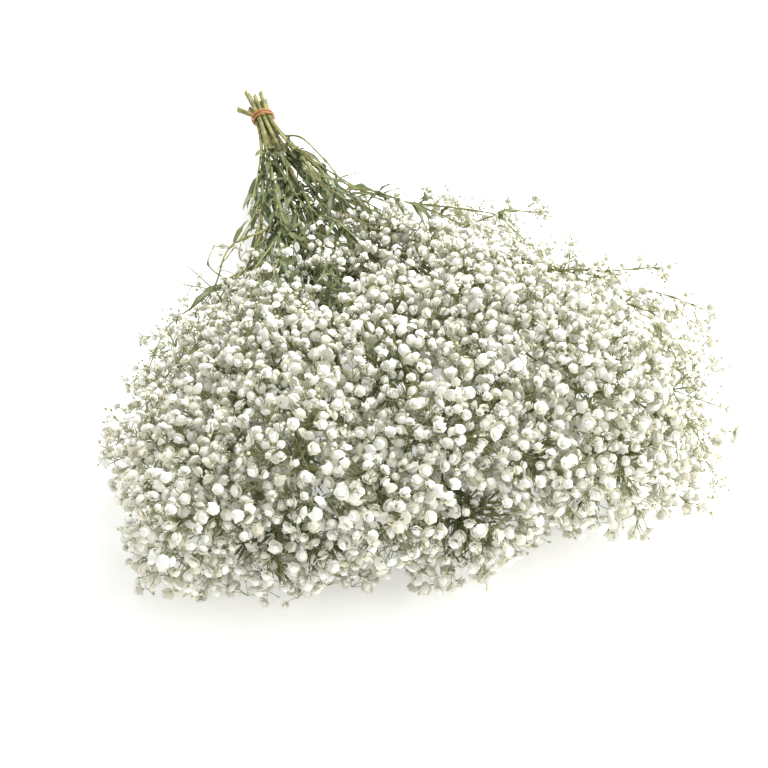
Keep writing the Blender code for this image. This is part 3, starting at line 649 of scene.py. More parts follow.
@functools.cache
def growth():
    """The whole skeleton, grown once from one seed: stem paths, branches, leaves and sprays."""
    rng = randoms("skeleton")
    stubs = rng.permutation(np.linspace(*STUBS, len(STEMS)))
    paths = [stem_path(stem, stub) for stem, stub in zip(STEMS, stubs)]
    joints = choose_joints(rng, [path[-1] for path in paths])
    paths = [shortened(path, JOINT_RADIUS + SEAT_GAP) for path in paths]
    greens = [line_rods(path, stem_radii(path)) for path in paths]
    tips = joints[: len(STEMS)]
    sprays = [
        Spray(joint, unit(path[-1] - path[-2]), number)
        for number, (joint, path) in enumerate(zip(tips, paths))
    ]
    branches, branch_ends = [], []
    joints[len(STEMS) :] = [off_the_stems(greens, joint) for joint in joints[len(STEMS) :]]
    for index, joint in enumerate(joints[len(STEMS) :], len(STEMS)):
        knobs = knob_rods(joints[:index] + joints[index + 1 :])
        found = find_branch(greens, knobs, paths, joint)
        if not found:
            continue
        number, branch = found
        sprays.append(Spray(joint, unit(branch[-1] - branch[-2]), number))
        branch_ends.append(joint)
        branch = shortened(branch, JOINT_RADIUS + SEAT_GAP)
        branches.append((number, branch))
        greens[number] = greens[number].joined(line_rods(branch, BRANCH_RADIUS))
    knobs = knob_rods([spray.joint for spray in sprays])
    leaves = grow_leaves(rng, greens, knobs, paths, branches)
    fill_florets(rng, greens, sprays)
    sprays = [spray for spray in sprays if spray.florets]
    return Growth(paths, tips, branches, branch_ends, leaves, sprays)


# The fine pieces. Flowers stand in cymes, small forked groups, and the cymes in a tuft round each
# floret of the skeleton.
CYME_TRIES = 60
TUFT_RADIUS = 0.0195
TUFT_TOP = -0.0010  # of the dome of the cymes' middles above the floret's middle
TUFT_FALL = 0.0070  # of the dome at its edge
TUFT_DEPTH = 0.0100  # of the layer of cymes under the dome
TUFT_POWER = 1.5  # of a random share of that depth, so that most are near the dome
TUFT_SPREAD = 1.1  # how far the cymes at the edge lean outwards
CYME_WOBBLE = 0.30
CYME_SIZES = (0.85, 1.15)
CYME_APART = 1.46  # of two cymes' flower radii together
CYME_CAP = 80.0  # degrees from a cyme's axis to its outermost flowers
CYME_JITTERS = (0.14, 0.35)  # of its flowers' angles from its axis and round it, in radians
CYME_FLOWERS = (5.6, 1.5)  # mean and spread of their count
MOST_FLOWERS = 8
MOST_BUDS = 5
BUD_CHANCES = (0.20, 0.62)  # of each bud, in the full bunch and at its margins
FLOWER_REACHES = (1.10, 1.80)  # from a cyme's middle to its flowers, in flower radii
BUD_REACHES = (1.80, 3.00)
FOOT_DEPTH = 1.3  # of a cyme's foot under its middle, in flower radii
FORK_SHARES = (0.35, 0.92)  # of a ray's length where the cymes' stalks leave it
FORK_BEND = 0.45  # of a fork's length, along its ray, to where it bends over
NEAR_REACH, FAR_REACH = 0.12, 0.43  # from the band to the smallest flowers and the largest
HEAD_SIZES = (0.80, 1.14)
HEAD_APART = 0.74  # of two flowers' radii together
HEAD_WOBBLE = 0.22
HEAD_COUNT = 6400
BUD_SIZES = (0.0008, 0.0013)
STEM_ROOM = 0.35  # of a flower's radius that stays clear of stems and branches
GREEN_STEPS = 40  # points that stand for a stem or branch there
OUTER_BLUR = 0.05  # random part of the depth by which the outermost cymes are placed first
DEEPEST_OUT = 1.16  # depth in the clouds past which there are none
BOX_SLACK = 0.0025  # out of the frame's box
FLOOR_ROOM = 0.0004

# Deep cymes, inside the bunch
DEEP_TRIES = 14
DEEP_SHARES = (0.25, 0.85)  # of a ray's length where they leave it
DEEP_SPREAD = 0.75
DEEP_REACHES = (0.006, 0.020)
DEEP_SHRINK = 0.95
DEEP_SPARE = 0.25  # of their flowers

# Thin margins: the edge of the full part of the bunch as the camera sees it, in pixels of a picture
# of that size. It is open downwards.
PICTURE_SIZE = 768
FULL_EDGE = (
    (70, 900), (118, 520), (124, 445), (156, 392), (192, 352), (234, 312), (258, 268), (285, 211),
    (350, 194), (400, 203), (450, 226), (500, 250), (545, 282), (590, 303), (632, 314), (664, 338),
    (684, 370), (694, 405), (692, 440), (712, 901),
)
EDGE_FADE = (-34.0, 12.0)  # pixels inside it where the bunch is at its thinnest and where it is full
MARGIN_REACH = 46.0  # pixels outside, where the last of the cymes are
MARGIN_LOSS = 0.82  # of the cymes outside
MARGIN_SPARE = 0.55  # of a cyme's flowers there
MARGIN_SHRINK = 0.22
# The leafy neck: how far from the band it ends, on the left and on the right
NECK_ANGLES = (-14.0, -7.0, 1.0, 8.0)
NECK_ENDS = (0.255, 0.335, 0.275, 0.135)
NECK_FADE = 0.120
NECK_LOSS = 0.90

# Cymes that lie on the surface along the near edge of the bunch: the line of their middles in plan,
# in millimetres
SKIRT = (
    (-180, -367), (-158, -398), (-110, -415), (-70, -420), (-40, -424), (0, -427), (50, -420),
    (90, -408), (135, -410), (160, -396),
)
SKIRT_COUNT = 340
SKIRT_WIDTH = 0.024  # inwards from that line
SKIRT_STRAY = SKIRT_WIDTH / 8
SKIRT_WOBBLE = 0.6
SKIRT_HEIGHTS = (0.006, 0.034)
SKIRT_REACH = 0.060  # the longest of their stalks

# Stalks
STALK_RINGS, PEDICEL_RINGS = 4, 3
RAY_ROUND, STALK_ROUND = 4, 3
RAY_RADII = (0.00052, 0.00038)
FORK_RADII = (0.00036, 0.00026)
PEDICEL_RADII = (0.00023, 0.00018)
PEDICEL_BEND = 0.38
CALYX_FOOT = (0.55, 1.2)  # how far under a flower's middle and a bud's its pedicel ends, in radii
CALYX_TOPS = (-0.08, 0.12)  # where a flower's calyx ends and a bud's, in radii from their middles
CALYX_WIDTHS = (0.30, 0.88)
BRACT_LENGTHS = (0.004, 0.009)
BRACT_WAYS = (0.75, 0.6, 0.1)  # along the ray, out to the side and up
SPEAR_WIDTH, SPEAR_THICKNESS = 0.075, 0.03  # of a narrow leaf's length
SPEAR_WIDEST = 0.45  # of its length
# The thicket is painted shade: dark narrow leaves along each ray deep in the bunch as the camera sees it,
# fewer towards its edge
THICKET_COUNT = 15  # narrow leaves along each ray in the full part of the bunch
THICKET_FADE = 240.0  # pixels from its edge to there
THICKET_SHARES = (0.05, 0.85)
THICKET_SPREAD = 0.60
THICKET_ROLL = 0.4
THICKET_LENGTHS = (0.008, 0.019)
TINT_SHARES = (0.78, 0.17, 0.05)  # of white, ivory and cream flowers
# More ivory and cream inside the bunch: painted shade on the flowers there
DEEP_TINTS = (0.50, 0.38, 0.12)  # inside the bunch

# Thin side stems that stand out of the bunch: which stem each springs from, the places of its nodes
# from the band's middle, and the node and the tip of each of its leaves, in tenths of a millimetre
TENTHS = 10000  # of a millimetre, in a metre
WISPS = (
    (6, ((120, -552, 450), (159, -1027, 600), (202, -1456, 700), (345, -1711, 780),
         (488, -1868, 810), (586, -1933, 820), (806, -2069, 830), (950, -2155, 820),
         (1018, -2315, 800), (1074, -2437, 770), (1138, -2606, 720)),
     ((3, (394, -1927, 840)), (3, (385, -1876, 760)), (4, (535, -2118, 850)),
      (4, (505, -2073, 780)), (7, (1053, -2197, 860)), (7, (1051, -2250, 780)))),
    (6, ((960, -2156, 820), (1062, -2175, 840), (1156, -2228, 850)), ()),
    (6, ((216, -1544, 740), (323, -1674, 790), (413, -1790, 800), (522, -1885, 790),
         (634, -1992, 780), (721, -2088, 760)),
     ((1, (233, -1703, 720)), (1, (410, -1695, 850)), (2, (429, -1884, 730)),
      (3, (596, -1902, 850)), (4, (711, -1997, 830)))),
    (2, ((39, -505, 400), (113, -820, 480), (124, -1071, 540), (126, -1342, 580), (122, -1622, 600),
         (81, -1882, 620)),
     ((2, (176, -1241, 500)), (3, (148, -1602, 660)), (3, (22, -1545, 540)))),
    (6, ((78, -767, 440), (91, -1134, 520), (151, -1441, 600), (251, -1644, 660), (355, -1864, 700)),
     ((1, (204, -1368, 640)), (2, (115, -1640, 540)), (2, (321, -1622, 720)), (3, (249, -1856, 600)))),
    (6, ((754, -2230, 660), (870, -2456, 700), (957, -2718, 700), (971, -2890, 680),
         (1021, -2990, 620)),
     ((1, (1050, -2575, 750)), (1, (965, -2610, 620)), (3, (1090, -2985, 660)))),
    (6, ((998, -2473, 680), (1188, -2695, 740), (1365, -2801, 740), (1491, -3105, 720),
         (1600, -3151, 680)),
     ((1, (1285, -2840, 710)),)),
    (6, ((1120, -2620, 700), (1288, -2750, 770), (1426, -2830, 790), (1600, -2878, 800),
         (1700, -2894, 800)), ()),
    (6, ((1400, -3080, 700), (1560, -3041, 760), (1706, -3181, 800), (1790, -3310, 820)), ()),
    (3, ((-405, -1471, 480), (-531, -1517, 500), (-623, -1559, 500), (-851, -1892, 460),
         (-1216, -2125, 420), (-1315, -2268, 400), (-1417, -2453, 380)),
     ((2, (-470, -1385, 530)), (2, (-463, -1650, 410)), (3, (-1035, -2010, 430)))),
    (3, ((-760, -1900, 460), (-918, -2117, 420), (-971, -2359, 380)),
     ((1, (-830, -2260, 400)),)),
    (9, ((1180, -3850, 300), (1310, -4020, 200), (1420, -4180, 120)), ()),
    (6, ((1500, -3720, 350), (1590, -3920, 260), (1650, -4030, 180)), ()),
    (3, ((-700, -1860, 460), (-822, -1688, 500), (-747, -1554, 520)), ()),
    (3, ((-1021, -2521, 460), (-1117, -2512, 480), (-1236, -2506, 460), (-1321, -2536, 420)), ()),
)
WISP_RINGS = 60
WISP_RADII = (0.00080, 0.00040)
WISP_SWELL = 1.2
WISP_CYMES = 2  # at each node past the neck
WISP_BLOOM = 0.178  # from the band to the nearest of them
WISP_WOBBLE, WISP_SINK = 0.75, 0.25  # how far their axes stray, and hang
WISP_REACHES = (0.005, 0.013)
WISP_RUN = 0.030  # from where it springs, least, along to its first node
WISP_LEAF_WIDTH = 0.0038
WISP_LEAF_ARCH = 0.2  # of its length, upwards

# Leafy stems
STEM_RINGS = 150
STEM_ROUND = 10
STEM_SLIM = 0.76  # of the solid stems' radius
SLIM_WAY = (STRAIGHT, 8 * STRAIGHT)  # from the band, over which they grow slim
BRANCH_RINGS = 28
BRANCH_ROUND = 6
BRANCH_NODES = (0.0, 0.55, 1.0)  # of a branch's length
BRANCH_TAPER = 0.75
NODE_STEP = 0.041  # between the swollen nodes of a stem
FIRST_NODES = (1.2, 1.9)  # least and most way to the first, in steps
NODE_STRAY = 0.15  # of a step
NODE_SWELL = 0.55
NODE_LENGTH = 0.0017
PART_NODE_LENGTHS = (0.035, 0.03)  # on a branch and on a shoot, as shares of its length
PITH_SHARE = 0.72
BLADE_RINGS = 8
BLADE_POWERS = (0.55, 0.85)  # of the ways from its root and to its tip, in its width
BLADE_PEAK = 0.391  # the most that those make of it
BLADE_ENDS = (0.01, 0.09)  # least share of the width at the tip, and how much more at the root
BLADE_WAVES = 2.3
BLADE_LAG = 0.25  # of a wave, by which each edge is off the midrib
BLADE_FOLD = 0.24  # rise of the edges over the midrib, as a share of the half width
BLADE_THICKNESS = 0.00045
BLADE_THICKEST = 0.8  # of the half width, where that is less
BLADE_WAVE = 0.00035
BLADE_TWIST = 0.8
LEAF_CURL = 0.50  # how far the large leaves hang along the bunch, out of their way to its sides
LEAF_FALL = 0.18
LEAF_FLOOR = 0.004
LEAF_SHARES = (0.13, 0.19)  # of a leaf's length, its width
LEAF_SLIM, LEAF_CUT = 0.78, 0.62  # of the solid leaves' width and length
LEAF_USUAL = 0.042  # length of a leaf as wide as that
LEAF_WIDTHS = (0.6, 1.1)  # least and most share of that width
LEAF_LEANS = (0.55, 0.45)  # of a small leaf's tip along its stem and out along its own start

# Leaves that hang over the neck: how many pairs a stem has there by its column, how far from the
# band, and their lengths from the first to the last
NECK_PAIRS = (15.0, 5.0)
NECK_LEAVES = (0.055, 0.330)
NECK_LENGTHS = (0.023, 0.018)
NECK_SIZES = (0.8, 1.15)
NECK_TILTS = (10.0, 85.0)
NECK_LEFT = 253.0  # pixels from the picture's left edge, the least to a leaf of the neck
LEAF_STRAY = 0.28  # how far their tips turn aside, as a share of their length
# Thin leafy shoots through the neck: how many a stem has by its column
OUTER_COLUMNS = (-1.5, 1.5)
SHOOT_COUNTS = (8.0, 4.0)
SHOOT_STARTS = (0.030, 0.160)  # from the band to where they leave their stem
HIGH_COUNTS = (6.0, 0.0)  # of those further on, which rise out between the flowers
HIGH_STARTS = (0.130, 0.225)
SHOOT_LENGTHS = (0.060, 0.120)
SHOOT_SPREAD = 0.17
SHOOT_STRAYS = (1.0, 0.4, 0.5)  # share of it across, along and up
SHOOT_BOWS = (0.2, 1.0, 1.6)  # share of the whole stray that shows half way
SHOOT_RISES = (0.07, 0.40)
SHOOT_RINGS = 16
SHOOT_RADII = (0.00070, 0.00035)
SHOOT_ROUND = 5
SHOOT_NODES = (0.25, 0.45, 0.65, 0.85)  # of their length
SHOOT_LEAVES = (0.011, 0.020)
# A cut side shoot beside the cut ends, and the stem that it grows on
STUB_STEM = 3
STUB = ((-0.0056, 0.0040, 0.0240), (-0.0096, 0.0100, 0.0236), (-0.0143, 0.0172, 0.0226))
STUB_RADII = (0.0016, 0.0022)
STUB_RINGS = 12
# Small leaves inside the bunch, along its branches: how many are placed for a stem, and how many of
# them it keeps by its column, fewer on the right
INNER_LEAVES = 15
INNER_COUNTS = (15.0, 4.0)
INNER_STEPS, INNER_FIRST = 24, 4  # places along a branch, and the first that may have a leaf
INNER_STEM = 5  # points of a stem's own line that come before its last leafy part
INNER_LENGTHS = (0.012, 0.024)
INNER_TILTS = (20.0, 65.0)

# The rubber band: one endless strap wound three times round, crossing itself
STRAP_TURNS = 3
STRAP_RINGS = 168
STRAP_WIDTH = 0.0020
BAND_REACH = 3 * STRAP_WIDTH  # from its middle to where a side stem may spring
STRAP_THICKNESS = 0.0008
STRAP_SWAY = 0.0027
STRAP_CORNERS = 8
STRAP_SQUARE = 0.5  # power that turns its round section to one with round corners
RIM_STEPS = 72  # round the bundle

# The view
VIEW_AZIMUTH = -18.0
VIEW_ELEVATION = 45.0
VIEW_DISTANCE = 1.2
VIEW_TARGET = (-0.01208, -0.09148, 0.05)
LENS_MM, SENSOR_MM = 93.75, 36.0
# Place and size of each lamp, both aimed at the view's target
KEY_LAMP = ((1.1, 0.55, 1.75), 0.9)
FILL_LAMP = ((1.5, -0.8, 0.8), 1.2)
FLOOR_HALF, FLOOR_DROP = 4.0, 0.0002

# Angles in degrees past which an edge is sharp
CREASES = {"green": 50, "leaves": 70, "stalks": 75, "flowers": 35, "band": 60}


def linear(code):
    """A colour from its sRGB hex code, turned to linear light."""
    shares = [int(code[start : start + 2], 16) / 255 for start in (1, 3, 5)]
    return [v / 12.92 if v <= 0.04045 else ((v + 0.055) / 1.055) ** 2.4 for v in shares]


def length_prop(name, description, default):
    """A small size in metres."""
    return bpy.props.FloatProperty(
        name=name, description=description, default=default, min=0.0001, max=0.1,
        subtype="DISTANCE", unit="LENGTH", precision=5,
    )


def colour_prop(name, description, code):
    """A colour, given as its sRGB hex code."""
    return bpy.props.FloatVectorProperty(
        name=name, description=description, default=linear(code), size=3, min=0.0, max=1.0,
        subtype="COLOR",
    )


def power_prop(name, description, default):
    """The power of a lamp in watts."""
    return bpy.props.FloatProperty(
        name=name, description=description, default=default, min=0.0, subtype="POWER", unit="POWER"
    )


class BunchFlowers(bpy.types.PropertyGroup):
    """Sizes and colours of the flowers and buds."""

    far_radius: length_prop("Far flower", "Radius of the flowers furthest from the band", 0.0041)
    near_radius: length_prop("Near flower", "Radius of the flowers nearest the band", 0.0029)
    white: colour_prop("White", "Most petals", "#f1f1e8")
    # Ivory and cream are partly the tones of older flowers and partly painted shade: each outer whorl is a
    # tint darker than its flower, and deep flowers are more often ivory or cream
    ivory: colour_prop("Ivory", "Older petals and the outer whorls", "#eeecdf")
    cream: colour_prop("Cream", "The oldest flowers", "#e9e5d3")
    bud: colour_prop("Bud", "Tips of the closed buds", "#dfe0c4")


class BunchGreens(bpy.types.PropertyGroup):
    """Colours of the green parts."""

    stem: colour_prop("Stem", "Main stems and branches", "#9c9a62")
    stem_dark: colour_prop("Stem shade", "Darker streaks of the stems", "#6a683a")
    pith: colour_prop("Pith", "Cut ends of the stems", "#cfc07c")
    leaf: colour_prop("Leaf", "Blades of the leaves", "#4b5630")
    leaf_light: colour_prop("Leaf light", "Paler leaves and the midribs", "#86905f")
    stalk: colour_prop("Stalk", "Thin stalks of the flowers", "#8c9165")
    calyx: colour_prop("Calyx", "Cups under the flowers and buds", "#919668")
    # A darker green for the narrow leaves inside the bunch: painted shade
    shaded: colour_prop("Shaded leaf", "Narrow leaves inside the bunch", "#6c6f47")


class BunchTie(bpy.types.PropertyGroup):
    """Colour of the rubber band."""

    rubber: colour_prop("Rubber", "The rubber band", "#a86f3c")


class BunchStage(bpy.types.PropertyGroup):
    """The floor and the lights."""

    floor: colour_prop("Floor", "The pale floor", "#f4f4f2")
    glow: bpy.props.FloatProperty(
        name="Glow", description="Strength of the light from under the floor", default=0.36, min=0.0
    )
    sky: bpy.props.FloatProperty(
        name="Sky", description="Strength of the even light from all round", default=0.75, min=0.0
    )
    key: power_prop("Key", "Power of the large lamp behind the bunch, on its right", 54.0)
    fill: power_prop("Fill", "Power of the lamp low on the right, in front", 19.0)


@functools.cache
def shift():
    """From the band's middle in plan, where the skeleton starts, to its place in the frame."""
    low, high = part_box("band")
    return np.array([(low.x + high.x) / 2, (low.y + high.y) / 2, 0.0])


# Meshes


class Surface:
    """Points and faces gathered for one piece, with the number of each face's material."""

    def __init__(self):
        self.points, self.corners, self.sizes, self.looks, self.marks = [], [], [], [], []
        self.count = 0

    def add(self, points, faces, looks=0, marks=None):
        """Adds an array of points, and a table of faces or a list of them, a row of corners for each
        face, with the number of their material or a list of numbers."""
        points = np.asarray(points, float).reshape(-1, 3)
        tables = faces if isinstance(faces, list) else [faces]
        looks = looks if isinstance(looks, list) else [looks] * len(tables)
        for table, look in zip(tables, looks):
            self.corners.append((table + self.count).ravel())
            self.sizes.append(np.full(len(table), table.shape[1]))
            self.looks.append(np.broadcast_to(look, len(table)))
        self.points.append(points)
        self.marks.append(np.zeros(len(points)) if marks is None else np.ravel(marks))
        self.count += len(points)

    def make(self, name, materials, crease, mark=None):
        """The piece as an object at the origin, shaded smooth up to creases of that many degrees."""
        mesh = bpy.data.meshes.new(name)
        points = np.vstack(self.points) + shift()
        corners, sizes = np.concatenate(self.corners), np.concatenate(self.sizes)
        mesh.vertices.add(len(points))
        mesh.vertices.foreach_set("co", points.ravel())
        mesh.loops.add(len(corners))
        mesh.loops.foreach_set("vertex_index", corners)
        mesh.polygons.add(len(sizes))
        mesh.polygons.foreach_set("loop_start", np.append(0, np.cumsum(sizes)[:-1]))
        mesh.polygons.foreach_set("material_index", np.concatenate(self.looks))
        if mark:
            layer = mesh.attributes.new(mark, "FLOAT", "POINT")
            layer.data.foreach_set("value", np.concatenate(self.marks))
        for material in materials:
            mesh.materials.append(material)
        mesh.update(calc_edges=True)
        mesh.validate()
        mesh.shade_smooth()
        mesh.set_sharp_from_angle(angle=math.radians(crease))
        piece = bpy.data.objects.new(name, mesh)
        bpy.context.scene.collection.objects.link(piece)
        return piece


def copied_faces(faces, copies, count):
    """The faces of that many copies of a shape of count points, one copy after another."""
    starts = (np.arange(copies) * count)[:, None, None]
    return (faces[None] + starts).reshape(-1, faces.shape[1])


def ring_faces(copies, rings, sides, closed=False):
    """Faces of many like strings of rings: a table of quads and one of the end fans' triangles.

    Ring i and side j of copy k is point (k rings + i) sides + j, and each quad joins neighbours.
    Where the string is closed, the last ring and the first are neighbours too."""
    ring, side = np.meshgrid(np.arange(rings - (not closed)), np.arange(sides), indexing="ij")
    a = ring * sides + side
    b = ring * sides + (side + 1) % sides
    onward = ((ring + 1) % rings - ring) * sides
    quads = np.stack([a, b, b + onward, a + onward], axis=-1).reshape(-1, 4)
    spots = np.arange(1, sides - 1)
    near = np.stack([spots + 1, spots, 0 * spots], axis=1)
    far = (rings - 1) * sides + near[:, ::-1]
    return [copied_faces(table, copies, rings * sides) for table in (quads, np.vstack([near, far]))]


def tubes(paths, radii, sides):
    """Rods along many paths at once, as points by path, ring and side.

    A point is P(t) + r(t) (cos(a) u(t) + sin(a) w(t)): P is the path, r its radius, u and w are
    square to the path, and a goes once round."""
    paths = np.asarray(paths, float)
    ways = units(np.gradient(paths, axis=1))
    chords = np.abs(paths[:, -1] - paths[:, 0])
    first = units(np.cross(ways, np.eye(3)[chords.argmin(axis=1)][:, None]))
    second = np.cross(ways, first)
    angles = (np.arange(sides) * math.tau / sides)[:, None]
    rounds = np.cos(angles) * first[:, :, None] + np.sin(angles) * second[:, :, None]
    return paths[:, :, None] + rounds * np.broadcast_to(radii, paths.shape[:2])[..., None, None]


def add_tubes(surface, paths, radii, sides, looks=0, end_look=0):
    """Adds rods along the paths. looks is the material of each stretch between two rings."""
    points = tubes(paths, radii, sides)
    faces = ring_faces(points.shape[0], points.shape[1], sides)
    stretches = np.broadcast_to(looks, points.shape[1] - 1)
    surface.add(points, faces, [np.tile(np.repeat(stretches, sides), len(points)), end_look])


def smooth_line(points, count):
    """Points at even steps of a curve through those given.

    Between two of them it is the cubic with their places and slopes, h00 P + h10 m + h01 Q + h11 n,
    each slope being the change over the two neighbouring steps."""
    steps = ways_along(points)
    slopes = np.gradient(points, steps, axis=0)
    spots = np.linspace(0, steps[-1], count)
    before = np.clip(np.searchsorted(steps, spots, side="right") - 1, 0, len(steps) - 2)
    gap = (steps[before + 1] - steps[before])[:, None]
    u = (spots - steps[before])[:, None] / gap
    start = (2 * u**3 - 3 * u**2 + 1) * points[before] + (u**3 - 2 * u**2 + u) * gap * slopes[before]
    after = before + 1
    return start + (3 * u**2 - 2 * u**3) * points[after] + (u**3 - u**2) * gap * slopes[after]


def frames_of(axes, turns):
    """For each axis three unit ways as rows: two across it, turned by that angle, and itself."""
    first = units(np.cross(axes, np.eye(3)[np.abs(axes).argmin(axis=1)]))
    second = np.cross(axes, first)
    across = first * np.cos(turns)[:, None] + second * np.sin(turns)[:, None]
    return np.stack([across, np.cross(axes, across), axes], axis=1)


# Materials


def add_node(tree, kind, values=None, links=None, **settings):
    """Adds a node with its settings, its sockets' values and the links into them."""
    node = tree.nodes.new(kind)
    for name, value in settings.items():
        setattr(node, name, value)
    for socket, value in (values or {}).items():
        node.inputs[socket].default_value = value
    for socket, source in (links or {}).items():
        tree.links.new(source, node.inputs[socket])
    return node


def start_material(name, colour, roughness, **values):
    """A Principled material of one colour."""
    material = bpy.data.materials.get(name) or bpy.data.materials.new(name)
    material.use_nodes = True
    shader = material.node_tree.nodes["Principled BSDF"]
    shader.inputs["Base Color"].default_value = (*colour, 1.0)
    shader.inputs["Roughness"].default_value = roughness
    for socket, value in values.items():
        shader.inputs[socket.replace("_", " ")].default_value = value
    return material


def coloured_by(material, output):
    """The material, its colour taken from that output of its nodes."""
    tree = material.node_tree
    tree.links.new(output, tree.nodes["Principled BSDF"].inputs["Base Color"])
    return material


def clouded(tree, size, grain, spread, colour, other):
    """Clouds of that size, in metres, of another colour in one: noise by the object's own places."""
    places = add_node(tree, "ShaderNodeTexCoord")
    noise = add_node(
        tree, "ShaderNodeTexNoise", {"Scale": 1 / size, **grain}, {"Vector": places.outputs["Object"]}
    )
    share = add_node(tree, "ShaderNodeMapRange", spread, {"Value": noise.outputs[0]})
    colours = {6: (*colour, 1.0), 7: (*other, 1.0)}
    return add_node(tree, "ShaderNodeMix", colours, {0: share.outputs[0]}, data_type="RGBA").outputs[2]


def petal(name, colour):
    """Fresh petal: thin, matt and slightly waxy, so it looks soft, with next to no gloss."""
    return start_material(name, colour, 0.62, Specular_IOR_Level=0.3)


def green_skin(name, colour, dark):
    """Grown skin of a green stem: streaks of two greens, 7 mm long, under a dull wax bloom."""
    material = start_material(name, colour, 0.52)
    grain, spread = {"Detail": 3.0, "Roughness": 0.55}, {"From Min": 0.36, "From Max": 0.62}
    return coloured_by(material, clouded(material.node_tree, 0.007, grain, spread, dark, colour))


def leaf_blade(name, colour, light):
    """Living leaf blade: deep green clouded every 22 mm or so with a paler one, a pale midrib, satin
    from its wax."""
    material = start_material(name, colour, 0.48)
    tree = material.node_tree
    spread = {"From Min": 0.40, "From Max": 0.75, "To Max": 0.7}
    body = clouded(tree, 0.022, {"Detail": 2.0}, spread, colour, light)
    across = add_node(tree, "ShaderNodeAttribute", attribute_name="across")
    fall = {"From Min": 0.05, "From Max": 0.30, "To Min": 0.65, "To Max": 0.0}
    rib = add_node(tree, "ShaderNodeMapRange", fall, {"Value": across.outputs["Fac"]})
    links = {0: rib.outputs[0], 6: body}
    mix = add_node(tree, "ShaderNodeMix", {7: (*light, 1.0)}, links, data_type="RGBA")
    return coloured_by(material, mix.outputs[2])


# Where the flowers and buds are

Spots = namedtuple("Spots", "places radii")
Tufts = namedtuple("Tufts", "middles frames bases joints sprays")
Cymes = namedtuple("Cymes", "places axes radii airs starts ways sprays deep tufts")
Heads = namedtuple("Heads", "places axes radii cymes is_bud")


def pick(rows, keep):
    """The same columns with only those rows."""
    return type(rows)(*(column[keep] for column in rows))


def stacked(first, second):
    """The rows of both."""
    return type(first)(*(np.concatenate(pair) for pair in zip(first, second)))


def sprays_of(stem):
    """The numbers of a stem's sprays."""
    return np.flatnonzero([spray.stem == stem for spray in growth().sprays])


@functools.cache
def all_tufts():
    """The florets of the skeleton, each of which a tuft of flowers takes the place of."""
    rows = []
    for number, spray in enumerate(growth().sprays):
        for centre, own_frame, _ in spray.florets:
            base = centre - own_frame[2] * FLORET_DEPTH
            rows.append((centre, own_frame, base, spray.joint, number))
    return Tufts(*(np.array(column) for column in zip(*rows)))


def in_tufts(rng, tries):
    """(places, axes, tuft numbers) of tries in each tuft: points under a dome that falls by the square
    of the way out to its edge, leaning outwards the more the further out they are."""
    tufts = all_tufts()
    count = len(tufts.middles)
    share = np.sqrt(rng.random((count, tries)))
    turn = rng.uniform(0, math.tau, (count, tries))
    rise = TUFT_TOP - TUFT_FALL * share**2 - TUFT_DEPTH * rng.random((count, tries)) ** TUFT_POWER
    outward = share[..., None] * round_ways(turn)
    local = np.concatenate([outward * TUFT_RADIUS, rise[..., None]], axis=-1)
    lean = np.concatenate([outward * TUFT_SPREAD, np.ones((count, tries, 1))], axis=-1)
    lean += rng.normal(0, CYME_WOBBLE, lean.shape)
    places = tufts.middles[:, None] + np.einsum("tni,tij->tnj", local, tufts.frames)
    axes = units(np.einsum("tni,tij->tnj", lean, tufts.frames))
    return places.reshape(-1, 3), axes.reshape(-1, 3), np.repeat(np.arange(count), tries)


def inside(rows):
    """True for each of the rows that keeps off the floor and within the frame's box."""
    low, high = (np.array(corner) - shift() for corner in CAD_BOX)
    room = rows.radii[:, None]
    fits = (rows.places - room > low - BOX_SLACK) & (rows.places + room < high + BOX_SLACK)
    return fits.all(axis=1) & (rows.places[:, 2] - rows.radii > FLOOR_ROOM)


def search_tree(places):
    """A tree that finds those places near any other."""
    tree = KDTree(len(places))
    for number, place in enumerate(places):
        tree.insert(place, number)
    tree.balance()
    return tree


@functools.cache
def green_tree():
    """A search tree of points along the stems and branches."""
    lines = [path[2:] for path in growth().paths] + [line for _, line in growth().branches]
    return search_tree(np.vstack([smooth_line(line, GREEN_STEPS) for line in lines]))


def off_the_greens(rows):
    """True for each of the rows that leaves the stems and branches in the clear."""
    gaps = np.array([green_tree().find(place)[2] for place in rows.places])
    return gaps > STEM_RADIUS + rows.radii * STEM_ROOM


def spaced(rows, apart, order=None):
    """The rows kept when each in turn, in that order or their own, clears the others within reach
    of it."""
    places, radii = rows.places, rows.radii
    tree, widest = search_tree(places), radii.max()
    free = np.ones(len(places), bool)
    kept = []
    for number in range(len(places)) if order is None else order:
        if free[number]:
            kept.append(number)
            for _, other, gap in tree.find_range(places[number], apart * (radii[number] + widest)):
                if gap < apart * (radii[number] + radii[other]):
                    free[other] = False
    return pick(rows, kept)


def view_way():
    """The unit vector from the camera's target back to the camera."""
    turn, rise = math.radians(VIEW_AZIMUTH), math.radians(VIEW_ELEVATION)
    flat = math.cos(rise)
    return np.array([math.sin(turn) * flat, -math.cos(turn) * flat, math.sin(rise)])


def pixels(places):
    """The pixel at which the camera sees each place."""
    back = view_way()
    right = unit(np.cross([0, 0, 1.0], back))
    rest = places + shift() - (np.array(VIEW_TARGET) + back * VIEW_DISTANCE)
    scale = LENS_MM / SENSOR_MM * PICTURE_SIZE / -(rest @ back)
    across = np.stack([rest @ right, rest @ -np.cross(back, right)], axis=1)
    return PICTURE_SIZE / 2 + across * scale[:, None]


